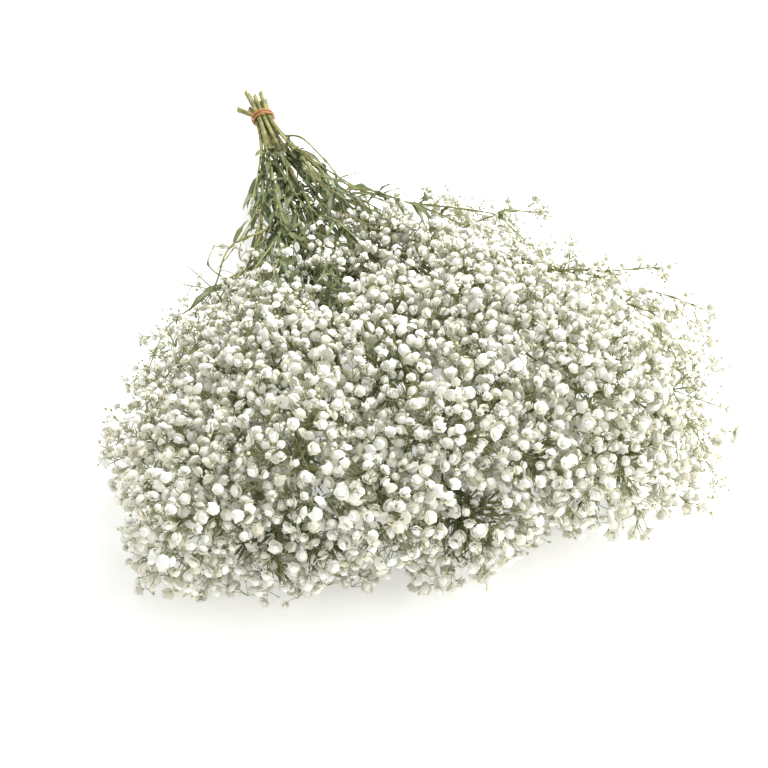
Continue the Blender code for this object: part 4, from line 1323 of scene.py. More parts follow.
def edge_gaps(spots):
    """How many pixels each spot is inside the edge of the full bunch, less than 0 outside it.

    It is the least distance from the sides of the edge's polygon. A spot is inside when an odd number
    of the sides cross the level line to its right."""
    corners = np.array(FULL_EDGE, float)
    sides = (np.roll(corners, -1, axis=0) - corners)[None]
    rest = spots[:, None] - corners[None]
    share = ((rest * sides).sum(axis=2) / (sides**2).sum(axis=2)).clip(0, 1)
    gaps = distances(rest - sides * share[..., None]).min(axis=1)
    crossing = (rest[..., 1] >= 0) != (rest[..., 1] >= sides[..., 1])
    to_right = rest[..., 0] < sides[..., 0] * rest[..., 1] / sides[..., 1]
    return np.where((crossing & to_right).sum(axis=1) % 2, gaps, -gaps)


def airiness(places):
    """0 where the bunch is full and 1 outside its full part."""
    return np.interp(edge_gaps(pixels(places)), EDGE_FADE, (1.0, 0.0))


def neckness(places):
    """1 by the leafy neck of the bunch, where few flowers are, and 0 beyond it."""
    angles = np.degrees(np.arctan2(places[:, 0], -places[:, 1]))
    ends = np.interp(angles, NECK_ANGLES, NECK_ENDS)
    return np.clip((ends - np.hypot(places[:, 0], places[:, 1])) / NECK_FADE, 0, 1)


def flower_radii(places, airs, sizes):
    """The mean radius of the flowers at each place. sizes are those nearest and furthest."""
    near, far = sizes
    way = np.clip((-places[:, 1] - NEAR_REACH) / (FAR_REACH - NEAR_REACH), 0, 1)
    return (near + (far - near) * way) * (1 - MARGIN_SHRINK * airs)


def cymes_at(places, axes, stalks, numbers, sizes, scale=1.0, deep=False):
    """Cymes at those places, their flowers as large as is usual there, times the scale."""
    airs = airiness(places)
    radii = flower_radii(places, airs, sizes) * scale
    return Cymes(places, axes, radii, airs, *stalks, np.full(len(places), deep), numbers)


@functools.cache
def wisp_lines():
    """[(stem, line)] of the thin side stems, each from the nearest point of the stem it grows on."""
    rows = []
    for stem, nodes, _ in WISPS:
        nodes = np.array(nodes) / TENTHS
        spots = smooth_line(growth().paths[stem], STEM_RINGS)
        spots = spots[(spots[:, 1] < -BAND_REACH) & (spots[:, 1] > nodes[0, 1] + WISP_RUN)]
        root = spots[distances(spots - nodes[0]).argmin()]
        rows.append((stem, np.vstack([root, nodes])))
    return rows


def wisp_cymes(rng, sizes):
    """The cymes on the nodes of the thin side stems."""
    rows = []
    for stem, line in wisp_lines():
        blooming = np.flatnonzero(-line[1:, 1] > WISP_BLOOM) + 1
        nodes = [*np.tile(blooming, WISP_CYMES), len(line) - 1]
        forward = units(np.gradient(line, axis=0))
        rows.append((line[nodes], forward[nodes], np.full(len(nodes), sprays_of(stem)[0])))
    starts, ways, sprays = (np.concatenate(column) for column in zip(*rows))
    axes = units(ways + rng.normal(0, WISP_WOBBLE, ways.shape) - [0, 0, WISP_SINK])
    places = starts + axes * rng.uniform(*WISP_REACHES, (len(starts), 1))
    return cymes_at(places, axes, (starts, ways, sprays), np.full(len(places), -1), sizes)


def on_rays(numbers, shares):
    """(starts, ways, spray numbers) of stalks that leave the rays of the tufts of those numbers, at
    those shares of the rays' lengths."""
    tufts = all_tufts()
    rays = tufts.bases[numbers] - tufts.joints[numbers]
    return tufts.joints[numbers] + rays * shares, units(rays), tufts.sprays[numbers]


def outer_cymes(rng, sizes):
    """Places to try for the cymes of the tufts."""
    places, axes, numbers = in_tufts(rng, CYME_TRIES)
    scale = rng.uniform(*CYME_SIZES, len(places))
    stalks = on_rays(numbers, rng.uniform(*FORK_SHARES, (len(places), 1)))
    return cymes_at(places, axes, stalks, numbers, sizes, scale)


def deep_cymes(rng, sizes):
    """Places to try for cymes along the rays, inside the bunch."""
    numbers = np.repeat(np.arange(len(all_tufts().middles)), DEEP_TRIES)
    stalks = starts, ways, _ = on_rays(numbers, rng.uniform(*DEEP_SHARES, (len(numbers), 1)))
    axes = units(ways + rng.normal(0, DEEP_SPREAD, ways.shape))
    places = starts + axes * rng.uniform(*DEEP_REACHES, (len(numbers), 1))
    return cymes_at(places, axes, stalks, numbers, sizes, DEEP_SHRINK, True)


def skirt_cymes(rng, sizes):
    """Places to try for the cymes that lie on the surface along the near edge, each on the ray whose
    end is nearest."""
    line = smooth_line(np.array([(*spot, 0) for spot in SKIRT]) / 1000, SKIRT_COUNT)
    places = line + rng.normal(0, SKIRT_STRAY, line.shape)
    places[:, 1] += rng.random(len(line)) * SKIRT_WIDTH
    places[:, 2] = rng.uniform(*SKIRT_HEIGHTS, len(places))
    gaps = distances(places[:, None] - all_tufts().bases[None])
    near = gaps.min(axis=1) < SKIRT_REACH
    places, numbers = places[near], gaps.argmin(axis=1)[near]
    stalks = on_rays(numbers, FORK_SHARES[1])
    axes = rng.normal(0, SKIRT_WOBBLE, places.shape) + units(places - stalks[0])
    axes[:, 2] = np.abs(axes[:, 2])
    return cymes_at(places, units(axes), stalks, numbers, sizes)


@functools.cache
def all_cymes(sizes):
    """Cymes through the tufts and along the rays, the outermost first, none too close to another, and
    those of the thin side stems and of the near edge."""
    rng = randoms("cymes")
    cymes = stacked(outer_cymes(rng, sizes), deep_cymes(rng, sizes))
    cymes = pick(cymes, inside(cymes) & (cloud_depths(cymes.places)[0] < DEEPEST_OUT))
    cymes = pick(cymes, off_the_greens(cymes))
    outer = cloud_depths(cymes.places)[0] + rng.normal(0, OUTER_BLUR, len(cymes.places))
    cymes = spaced(cymes, CYME_APART, np.argsort(-outer))
    skirt = skirt_cymes(rng, sizes)
    cymes = spaced(stacked(pick(skirt, inside(skirt)), cymes), CYME_APART)
    cymes = pick(cymes, edge_gaps(pixels(cymes.places)) > -MARGIN_REACH)
    chance = (1 - MARGIN_LOSS * cymes.airs) * (1 - NECK_LOSS * neckness(cymes.places))
    cymes = pick(cymes, rng.random(len(chance)) < chance)
    return stacked(wisp_cymes(rng, sizes), cymes)


GOLDEN_TURN = math.pi * (3 - math.sqrt(5))


def round_cymes(rng, cymes, counts, reaches):
    """(places, axes, cyme numbers) of that many ways out of each cyme.

    Way j of n leans from the axis by the angle whose cosine is 1 - (j + 1/2)/n (1 - cos cap) and is
    turned by j golden angles, so the ways lie evenly over the cap. Both angles are jittered."""
    step = np.arange(int(counts.max()))[None]
    own = step < counts[:, None]
    share = np.minimum((step + 0.5) / np.maximum(counts, 1)[:, None], 1)
    lean = np.arccos(1 - share * (1 - math.cos(math.radians(CYME_CAP))))
    lean = lean + rng.normal(0, CYME_JITTERS[0], own.shape)
    turn = step * GOLDEN_TURN + rng.uniform(0, math.tau, (len(counts), 1))
    turn = turn + rng.normal(0, CYME_JITTERS[1], own.shape)
    local = np.concatenate([np.sin(lean)[..., None] * round_ways(turn), np.cos(lean)[..., None]], axis=-1)
    ways = np.einsum("cki,cij->ckj", local, frames_of(cymes.axes, np.zeros(len(counts))))
    reach = rng.uniform(*reaches, own.shape) * cymes.radii[:, None]
    places = cymes.places[:, None] + ways * reach[..., None]
    axes = units(ways + rng.normal(0, HEAD_WOBBLE, ways.shape))
    return places[own], axes[own], np.nonzero(own)[0]


@functools.cache
def all_heads(sizes):
    """(flowers, buds), both as Heads."""
    rng = randoms("heads")
    cymes = all_cymes(sizes)
    mean, spread = CYME_FLOWERS
    mean = mean * (1 - MARGIN_SPARE * cymes.airs) * (1 - DEEP_SPARE * cymes.deep)
    counts = rng.normal(mean, spread).round().clip(0, MOST_FLOWERS)
    places, axes, numbers = round_cymes(rng, cymes, counts, FLOWER_REACHES)
    radii = cymes.radii[numbers] * rng.uniform(*HEAD_SIZES, len(numbers))
    flowers = Heads(places, axes, radii, numbers, np.zeros(len(numbers), bool))
    counts = rng.binomial(MOST_BUDS, np.interp(cymes.airs, (0, 1), BUD_CHANCES))
    places, axes, numbers = round_cymes(rng, cymes, counts, BUD_REACHES)
    radii = rng.uniform(*BUD_SIZES, len(numbers))
    heads = stacked(flowers, Heads(places, axes, radii, numbers, np.ones(len(numbers), bool)))
    heads = spaced(pick(heads, inside(heads) & off_the_greens(heads)), HEAD_APART)
    return pick(pick(heads, ~heads.is_bud), slice(HEAD_COUNT)), pick(heads, heads.is_bud)


def heads_of(heads, cymes, sprays):
    """Those of the heads that the sprays of these numbers carry."""
    return pick(heads, np.isin(cymes.sprays[heads.cymes], sprays))


# The flowers

# (petals, rim points to a petal with its notch, radius, notch, height of the rim, height of the
# middle) of the whorls, outermost first, as shares of the flower's radius
WHORLS = ((5, 2, 1.0, 0.90, 0.12, -0.24), (5, 2, 0.90, 0.86, 0.52, 0.02))
WHORL_THICKNESS = 0.10
RUFFLE = 0.06
PETAL_STRAY = 0.05  # of each rim point round the whorl, in radians
PETAL_REACHES = (0.90, 1.06)
# Heights and radii of the rings of the solid bodies
HEART = ((0.08, 0.0), (0.46, 0.66), (0.82, 0.46), (0.92, 0.0))
DEEP_FLOWER = ((-0.30, 0.0), (0.12, 1.04), (0.62, 0.70), (0.84, 0.0))
BUD = ((-0.3, 0.0), (0.0, 0.92), (0.75, 0.66), (1.25, 0.0))
HEART_SIDES, DEEP_SIDES, BUD_SIDES = 7, 10, 5
RAGGED = 0.16  # how far the sides of a heart stand in or out, as a share of its radius
DEEP_NOTCH = 0.18  # how far every second side of a deep flower stands in
FLOWER_SHAPES = 12
SHUT_POWER = 3  # of a random share, so that few flowers are nearly shut
SHUT_STRETCH = np.array([-0.28, -0.28, 0.25])  # of a flower quite shut, across and up
COPY_TURN = 40 * math.pi  # round their axes, from the first to the last copy of a shape
CREAM, BUD_LOOK = 2, 3  # numbers of these materials, after 0 white and 1 ivory


def whorl(rng, petals, corners, radius, notch, rim_height, middle_height):
    """(points, faces) of one whorl of petals as a thin closed shell.

    The rim's radius drops to the notch between two petals, its height rises with the square of that
    radius, and one point above the middle and one below close the shell."""
    count = petals * corners
    spots = np.arange(count)
    turn = rng.uniform(0, math.tau)
    angles = spots * math.tau / count + turn + rng.normal(0, PETAL_STRAY, count)
    reach = np.where(spots % corners, 1.0, notch) * rng.uniform(*PETAL_REACHES, count)
    height = middle_height + (rim_height - middle_height) * reach**2 + rng.normal(0, RUFFLE, count)
    rim = np.column_stack([(radius * reach)[:, None] * round_ways(angles), height])
    ends = [[0, 0, middle_height + WHORL_THICKNESS / 2], [0, 0, middle_height - WHORL_THICKNESS]]
    after = (spots + 1) % count
    above = np.stack([spots, after, np.full(count, count)], axis=1)
    below = np.stack([after, spots, np.full(count, count + 1)], axis=1)
    return np.vstack([rim, ends]), np.vstack([above, below])


def turned_body(rings, sides, jitter):
    """(points, faces) of a body of rings between a point at its foot and one at its top.

    Each ring is turned by half a side from the one below, and jitter is added to 1 in its radii."""
    spots = np.arange(sides)
    angles = (spots[None] + 0.5 * np.arange(len(rings) - 2)[:, None]) * math.tau / sides
    heights, radii = np.array(rings).T[..., None]
    reach = radii[1:-1] * (1 + jitter)
    middle = np.stack([reach * np.cos(angles), reach * np.sin(angles), heights[1:-1] + 0 * angles], axis=-1)
    points = np.vstack([[0, 0, *heights[0]], middle.reshape(-1, 3), [0, 0, *heights[-1]]])
    after = (spots + 1) % sides
    faces = [np.stack([1 + after, 1 + spots, 0 * spots], axis=1)]
    last = 1 + (len(rings) - 3) * sides
    for low in range(1, last, sides):
        high = low + sides
        faces.append(np.stack([low + spots, low + after, high + spots], axis=1))
        faces.append(np.stack([low + after, high + after, high + spots], axis=1))
    faces.append(np.stack([last + spots, last + after, np.full(sides, last + sides)], axis=1))
    return points, np.vstack(faces)


def flower_shape(rng):
    """(points, faces, layer numbers of the faces) of one double flower, its radius 1.

    Two whorls of petals, one above the other, and a heart of folded petals in them."""
    layers = [whorl(rng, *sizes) for sizes in WHORLS]
    layers.append(turned_body(HEART, HEART_SIDES, rng.uniform(-RAGGED, RAGGED, (2, HEART_SIDES))))
    points, faces = zip(*layers)
    starts = np.append(0, np.cumsum([len(own) for own in points]))
    numbers = np.repeat(np.arange(len(layers)), [len(own) for own in faces])
    return np.vstack(points), np.vstack([own + start for own, start in zip(faces, starts)]), numbers


def add_copies(surface, shape, faces, heads, stretch, looks):
    """Puts a copy of the shape at every head: place + radius (shape times stretch) turned to it."""
    turned_to = frames_of(heads.axes, np.linspace(0, COPY_TURN, len(heads.places)))
    sized = shape[None] * stretch * heads.radii[:, None, None]
    points = heads.places[:, None] + np.einsum("hni,hij->hnj", sized, turned_to)
    surface.add(points, copied_faces(faces, len(points), len(shape)), np.ravel(looks))


def add_flowers(surface, flowers, deep, rng):
    """Flowers in a few shapes and tints, their outer whorls a tint darker as painted shade at each flower's
    edge. Deep ones are plainer, and more often ivory or cream as painted shade inside the bunch.
    """
    picks = rng.integers(FLOWER_SHAPES, size=len(flowers.places))
    shut = rng.random(len(flowers.places)) ** SHUT_POWER
    shapes_rng = randoms("shapes")
    for number in range(FLOWER_SHAPES):
        shape, faces, layers = flower_shape(shapes_rng)
        own = (picks == number) & ~deep
        tint = rng.choice(len(TINT_SHARES), size=own.sum(), p=TINT_SHARES)[:, None]
        # The outer whorl is one tint darker: painted shade at the flower's edge
        looks = np.minimum(tint + (layers[None] == 0), CREAM)
        stretch = 1 + shut[own][:, None, None] * SHUT_STRETCH
        add_copies(surface, shape, faces, pick(flowers, own), stretch, looks)
    ragged = shapes_rng.uniform(-RAGGED, RAGGED, (2, DEEP_SIDES))
    ragged -= DEEP_NOTCH * (np.arange(DEEP_SIDES) % 2)
    shape, faces = turned_body(DEEP_FLOWER, DEEP_SIDES, ragged)
    # Deep flowers' tints lean to ivory and cream: painted shade inside the bunch
    tint = rng.choice(len(DEEP_TINTS), size=deep.sum(), p=DEEP_TINTS)
    add_copies(surface, shape, faces, pick(flowers, deep), 1.0, np.repeat(tint, len(faces)))


def add_blossoms(surface, flowers, buds, cymes, rng):
    """Open flowers, and buds as small closed bodies."""
    add_flowers(surface, flowers, cymes.deep[flowers.cymes], rng)
    shape, faces = turned_body(BUD, BUD_SIDES, 0.0)
    add_copies(surface, shape, faces, buds, 1.0, np.full(len(buds.places) * len(faces), BUD_LOOK))


# The stalks

STALK, CALYX, PAINTED_SHADE = 0, 1, 2  # numbers of their materials


def add_stalks(surface, flowers, buds, cymes, rng):
    """Rays, forks and pedicels, each pedicel widening into the calyx under its flower or bud."""
    tufts, heads = all_tufts(), stacked(flowers, buds)
    used = np.unique(heads.cymes)
    grown = pick(cymes, used)
    own = np.unique(grown.tufts[grown.tufts >= 0])
    joints = tufts.joints[own]
    tops = joints + (tufts.bases[own] - joints) * FORK_SHARES[1]
    rays = bent_lines(joints, (joints + tops) / 2, tops, STALK_RINGS)
    add_tubes(surface, rays, np.linspace(*RAY_RADII, STALK_RINGS), RAY_ROUND)
    feet = grown.places - grown.axes * (FOOT_DEPTH * grown.radii)[:, None]
    away = lengths_of(feet - grown.starts)
    bends = grown.starts + grown.ways * away * FORK_BEND
    forks = bent_lines(grown.starts, bends, feet, STALK_RINGS)
    add_tubes(surface, forks, np.linspace(*FORK_RADII, STALK_RINGS), STALK_ROUND)
    add_bracts(surface, grown.starts, grown.ways, feet - grown.starts)
    add_thicket(surface, joints, tops, rng)

    foot, height, width = (
        np.where(heads.is_bud, of_bud, of_flower) * heads.radii
        for of_flower, of_bud in (CALYX_FOOT, CALYX_TOPS, CALYX_WIDTHS)
    )
    ends = heads.places - heads.axes * foot[:, None]
    starts = feet[np.searchsorted(used, heads.cymes)]
    bends = ends - heads.axes * lengths_of(ends - starts) * PEDICEL_BEND
    cups = heads.places[:, None] + heads.axes[:, None] * height[:, None, None]
    paths = np.concatenate([bent_lines(starts, bends, ends, PEDICEL_RINGS), cups], axis=1)
    thin = np.broadcast_to(np.linspace(*PEDICEL_RADII, PEDICEL_RINGS), (len(paths), PEDICEL_RINGS))
    add_tubes(surface, paths, np.column_stack([thin, width]), STALK_ROUND, [STALK, STALK, CALYX], CALYX)


# A narrow leaf: a point at each end and one to each side, above and below between them
SPEAR_FACES = np.array(
    [[0, 1, 2], [0, 2, 3], [0, 3, 4], [0, 4, 1], [5, 2, 1], [5, 3, 2], [5, 4, 3], [5, 1, 4]]
)


def add_spears(surface, starts, alongs, ups, lengths, look):
    """Narrow leaves of eight faces, from the starts by those lengths along those ways."""
    alongs = units(alongs)
    wides = units(np.cross(alongs, ups), NO_ZERO)
    ups = np.cross(wides, alongs)
    wides, ups = wides * lengths * SPEAR_WIDTH, ups * lengths * SPEAR_THICKNESS
    whole = alongs * lengths
    middles = starts + whole * SPEAR_WIDEST
    rows = [starts, middles + wides, middles + ups, middles - wides, middles - ups, starts + whole]
    surface.add(np.stack(rows, axis=1), copied_faces(SPEAR_FACES, len(starts), len(rows)), look)


def add_bracts(surface, starts, ways, branches):
    """A pair of tiny leaves where each cyme's stalk leaves its ray."""
    across = units(np.cross(ways, branches), NO_ZERO)
    ups = np.cross(across, ways)
    lengths = np.linspace(*BRACT_LENGTHS, len(starts))[:, None]
    forward, aside, rise = BRACT_WAYS
    for side in (-1.0, 1.0):
        alongs = ways * forward + across * side * aside + ups * rise
        add_spears(surface, starts, alongs, ups, lengths, STALK)


def add_thicket(surface, joints, tops, rng):
    """Narrow dark leaves along the rays, on every side of them: painted shade inside the bunch, kept more
    often the further inside its edge the camera sees them.
    """
    rows = np.repeat(np.arange(len(joints)), THICKET_COUNT)
    rays = (tops - joints)[rows]
    starts = joints[rows] + rays * rng.uniform(*THICKET_SHARES, (len(rows), 1))
    # Painted shade: the further inside the bunch's edge in the view, the more of these dark leaves are kept
    fullness = np.clip(edge_gaps(pixels(starts)) / THICKET_FADE, 0, 1)
    alongs = units(rays) + rng.normal(0, THICKET_SPREAD, rays.shape)
    lengths = rng.uniform(*THICKET_LENGTHS, (len(rows), 1))
    ups = rng.normal(0, THICKET_ROLL, rays.shape) + [0, 0, 1.0]
    widths = lengths[:, 0] * SPEAR_WIDTH
    own = inside(Spots(starts + units(alongs) * lengths, widths)) & (starts[:, 2] > widths)
    own &= rng.random(len(rows)) < fullness
    add_spears(surface, starts[own], alongs[own], ups[own], lengths[own], PAINTED_SHADE)


# The leafy stems

Blades = namedtuple("Blades", "starts bends ends widths")


def node_swell(steps, spots, length, swell=NODE_SWELL):
    """1 between the nodes, and at each a bulge 1 + swell exp(-(s/length)^2)."""
    gaps = (steps[:, None] - np.asarray(spots)[None]) / length
    return 1 + swell * np.exp(-(gaps**2)).sum(axis=1)


def by_column(number, counts):
    """How many a stem has, from the first count on the left of the bunch to the second on the right."""
    return round(float(np.interp(STEMS[number].column, OUTER_COLUMNS, counts)))


def stem_line(number):
    """A stem's centreline from its cut end right to its last joint."""
    return smooth_line(np.vstack([growth().paths[number], growth().tips[number]]), STEM_RINGS)


def spots_on(number, away):
    """(places, unit ways) on a stem's centreline that far from the band."""
    line = stem_line(number)
    rows = np.abs(-line[:, 1][None] - away[:, None]).argmin(axis=1)
    return line[rows], units(np.gradient(line, axis=0)[rows])


def add_stem(surface, number, rng):
    """One stem with swollen nodes, and the stub of a side shoot where it has one."""
    line = stem_line(number)
    steps = np.linspace(0, lengths_of(np.diff(line, axis=0)).sum(), STEM_RINGS)
    spots = np.arange(NODE_STEP * rng.uniform(*FIRST_NODES), steps[-1], NODE_STEP)
    spots = spots + rng.uniform(-NODE_STRAY, NODE_STRAY, len(spots)) * NODE_STEP
    slim = np.interp(-line[:, 1], SLIM_WAY, (1.0, STEM_SLIM))
    add_cut_rod(surface, line, slim * stem_radii(line) * node_swell(steps, spots, NODE_LENGTH))
    if number == STUB_STEM:
        stub = smooth_line(np.array(STUB), STUB_RINGS)[::-1]
        add_cut_rod(surface, stub, np.linspace(*STUB_RADII[::-1], STUB_RINGS))


def add_cut_rod(surface, line, radii):
    """A round rod along the line, cut on a slant at its start, with paler pith in the cut."""
    rings = tubes(line[None], radii, STEM_ROUND)[0]
    rings[0] += unit(line[0] - line[1]) * ((rings[0] - line[0])[:, :1] * CUT_SLANT)
    middle = rings[0].mean(axis=0)
    points = np.vstack([(middle + (rings[0] - middle) * PITH_SHARE)[None], rings])
    faces = ring_faces(1, len(points), STEM_ROUND)
    is_pith = np.arange(len(faces[0])) < STEM_ROUND
    surface.add(points, faces, [is_pith.astype(int), 1])


@functools.cache
def shoots(number):
    """The thin leafy shoots of a stem, as paths: parabolas that leave it forwards and stray aside."""
    rng = randoms("shoots", number)
    low, high = by_column(number, SHOOT_COUNTS), by_column(number, HIGH_COUNTS)
    away = np.append(np.linspace(*SHOOT_STARTS, low), np.linspace(*HIGH_STARTS, high))
    starts, ways = spots_on(number, away + rng.uniform(-1, 1, low + high) * LEAF_STAGGER)
    lengths = rng.uniform(*SHOOT_LENGTHS, (low + high, 1))
    rise = np.repeat(SHOOT_RISES, (low, high))[:, None] * [0, 0, 1.0]
    stray = rng.normal(0, SHOOT_SPREAD, ways.shape) * SHOOT_STRAYS + rise
    bends = starts + (ways + stray * SHOOT_BOWS) * lengths * 0.5
    return bent_lines(starts, bends, starts + (ways + stray) * lengths, SHOOT_RINGS)


def add_shoots(surface, number):
    """The thin leafy shoots of a stem, swollen at their nodes."""
    swell = node_swell(np.linspace(0, 1, SHOOT_RINGS), SHOOT_NODES, PART_NODE_LENGTHS[1])
    radii = np.linspace(*SHOOT_RADII, SHOOT_RINGS) * swell
    add_tubes(surface, shoots(number), radii, SHOOT_ROUND)


def add_branches(surface, number):
    """The branches of a stem, swollen where they start, half way and at their joints."""
    grown = growth()
    paths = [
        smooth_line(np.vstack([line, joint]), BRANCH_RINGS)
        for (owner, line), joint in zip(grown.branches, grown.joints) if owner == number
    ]
    swell = node_swell(np.linspace(0, 1, BRANCH_RINGS), BRANCH_NODES, PART_NODE_LENGTHS[0])
    radii = np.linspace(BRANCH_RADIUS, BRANCH_RADIUS * BRANCH_TAPER, BRANCH_RINGS) * swell
    if paths:
        add_tubes(surface, paths, radii, BRANCH_ROUND)


def add_wisps(surface, number):
    """The thin side stems of one stem, swollen at their nodes."""
    for stem, line in wisp_lines():
        if stem == number:
            nodes = ways_along(line)
            steps = np.linspace(0, nodes[-1], WISP_RINGS)
            swell = node_swell(steps, nodes[1:], NODE_LENGTH, WISP_SWELL)
            radii = np.linspace(*WISP_RADII, WISP_RINGS) * swell
            add_tubes(surface, smooth_line(line, WISP_RINGS)[None], radii, BRANCH_ROUND)


BLADE_SECTION = np.array([-1.0, -0.5, 0.0, 0.5, 1.0, 0.5, 0.0, -0.5])  # way across, top then bottom
BLADE_SIDES = np.array([0.0, 1.0, 1.0, 1.0, 0.0, -1.0, -1.0, -1.0])


def add_blades(surface, blades, rng):
    """Leaves along many midribs, each a closed shell folded up from its midrib.

    The midrib is the parabola (1-t)^2 A + 2t(1-t) B + t^2 C. At t the half width is
    w t^0.55 (1 - t)^0.85, the edges rise by a share of it, waved along their length, and the
    section's thickness falls off as the root of 1 - v^2 from the midrib v = 0 to the edge v = 1."""
    count = len(blades.starts)
    line = bent_lines(blades.starts, blades.bends, blades.ends, BLADE_RINGS)
    start, bend, end = blades.starts[:, None], blades.bends[:, None], blades.ends[:, None]
    t = np.linspace(0, 1, BLADE_RINGS)[None, :, None]
    along = units((1 - t) * (bend - start) + t * (end - bend))
    across = units(np.cross(along, [0, 0, 1.0]))
    up = np.cross(across, along)
    twist = rng.uniform(-BLADE_TWIST, BLADE_TWIST, (count, 1, 1)) * t
    across, up = across * np.cos(twist) + up * np.sin(twist), up * np.cos(twist) - across * np.sin(twist)
    profile = (t ** BLADE_POWERS[0] * (1 - t) ** BLADE_POWERS[1] / BLADE_PEAK)[..., 0]
    least = BLADE_ENDS[1] * (1 - t[..., 0]) + BLADE_ENDS[0]
    half = (blades.widths[:, None] / 2 * np.maximum(profile, least))[..., None]
    v, edge = BLADE_SECTION, np.abs(BLADE_SECTION)
    wave = BLADE_WAVES * t + rng.random((count, 1, 1)) + BLADE_LAG * np.sign(v)
    rise = BLADE_FOLD * edge * half + BLADE_WAVE * np.sin(math.tau * wave) * edge**2
    thick = np.minimum(BLADE_THICKNESS, half * BLADE_THICKEST)
    rise = rise + BLADE_SIDES * thick / 2 * np.sqrt(1 - v**2)
    points = line[:, :, None] + across[:, :, None] * (v * half)[..., None]
    points = points + up[:, :, None] * rise[..., None]
    faces = ring_faces(count, BLADE_RINGS, len(v))
    surface.add(points, faces, 0, np.broadcast_to(edge, points.shape[:3]))


def side_leaves(rng, spots, ways, lengths, tilts, fall):
    """Leaves that leave those spots at tilts from the ways, on any side, and droop by their weight."""
    turns = frames_of(ways, rng.uniform(0, math.tau, len(ways)))[:, 0]
    tilt = np.radians(rng.uniform(*tilts, (len(ways), 1)))
    out = ways * np.cos(tilt) + turns * np.sin(tilt)
    lengths = lengths[:, None]
    stray = rng.normal(0, LEAF_STRAY, out.shape)
    onward = ways * LEAF_LEANS[0] + out * LEAF_LEANS[1] + stray - [0, 0, fall]
    ends = spots + onward * lengths
    ends[:, 2] = np.maximum(ends[:, 2], LEAF_FLOOR)
    widths = lengths[:, 0] * rng.uniform(*LEAF_SHARES, len(ways))
    return Blades(spots, spots + out * lengths * 0.5, ends, widths)


def in_neck(blades):
    """The leaves without those whose tips would stand out of the neck on its left."""
    return pick(blades, pixels(blades.ends)[:, 0] > NECK_LEFT)


def solid_leaves(number):
    """The leaves of the solid stem, from the same roots, let down to hang along the bunch."""
    midribs = np.array([line for owner, line in growth().leaves if owner == number])
    starts, chords = midribs[:, 0], midribs[:, -1] - midribs[:, 0]
    lengths = lengths_of(chords) * LEAF_CUT
    hanging = units((1 - LEAF_CURL) * units(chords) + LEAF_CURL * units(starts * [1.0, 1.0, 0.0]))
    bends = starts + (midribs[:, 1] - starts) * 2 * LEAF_CUT
    ends = starts + (hanging - [0, 0, LEAF_FALL]) * lengths
    widths = LEAF_WIDTH * LEAF_SLIM * np.clip(lengths[:, 0] / LEAF_USUAL, *LEAF_WIDTHS)
    return Blades(starts, bends, ends, widths)


def neck_leaves(number, rng):
    """The leaf pairs that hang over the neck of the bunch, more on the stems to its left."""
    pairs = by_column(number, NECK_PAIRS)
    away = np.linspace(*NECK_LEAVES, pairs) + rng.uniform(-1, 1, pairs) * LEAF_STAGGER
    spots, ways = spots_on(number, np.repeat(away, 2))
    lengths = np.interp(-spots[:, 1], NECK_LEAVES, NECK_LENGTHS) * rng.uniform(*NECK_SIZES, len(spots))
    return in_neck(side_leaves(rng, spots, ways, lengths, NECK_TILTS, LEAF_FALL))


def inner_leaves(number, rng):
    """Small leaves along the stem's branches, inside the bunch."""
    lines = [line for owner, line in growth().branches if owner == number]
    lines.append(growth().paths[number][INNER_STEM:])
    picks = rng.integers(len(lines), size=INNER_LEAVES)
    spots = rng.integers(INNER_FIRST, INNER_STEPS, size=INNER_LEAVES)
    fine = np.array([fine_line(line, INNER_STEPS) for line in lines])
    places, ways = fine[picks, :, spots].swapaxes(0, 1)
    lengths = rng.uniform(*INNER_LENGTHS, INNER_LEAVES)
    leaves = side_leaves(rng, places, ways, lengths, INNER_TILTS, LEAF_FALL)
    return pick(leaves, slice(by_column(number, INNER_COUNTS)))


def shoot_leaves(number, rng):
    """Pairs of small leaves at the nodes of the shoots."""
    paths = shoots(number)
    rows = np.repeat((np.array(SHOOT_NODES) * (SHOOT_RINGS - 1)).round().astype(int), 2)
    spots = paths[:, rows].reshape(-1, 3)
    ways = units(np.gradient(paths, axis=1)[:, rows].reshape(-1, 3))
    lengths = rng.uniform(*SHOOT_LEAVES, len(spots))
    return in_neck(side_leaves(rng, spots, ways, lengths, NECK_TILTS, LEAF_FALL / 2))


def wisp_leaves(number):
    """The leaves at the nodes of the stem's thin side stems."""
    rows = [(nodes[node], tip) for stem, nodes, leaves in WISPS if stem == number for node, tip in leaves]
    starts, ends = np.array(rows).reshape(-1, 2, 3).swapaxes(0, 1) / TENTHS
    bends = (starts + ends) / 2 + [0, 0, WISP_LEAF_ARCH] * lengths_of(ends - starts)
    return Blades(starts, bends, ends, np.full(len(starts), WISP_LEAF_WIDTH))


# The rubber band


def strap_section():
    """(along, outward) of the strap's round-cornered section at each of its corners."""
    ways = round_ways((np.arange(STRAP_CORNERS) + 0.5) * math.tau / STRAP_CORNERS)
    return np.sign(ways) * np.abs(ways) ** STRAP_SQUARE * [STRAP_WIDTH / 2, STRAP_THICKNESS / 2]


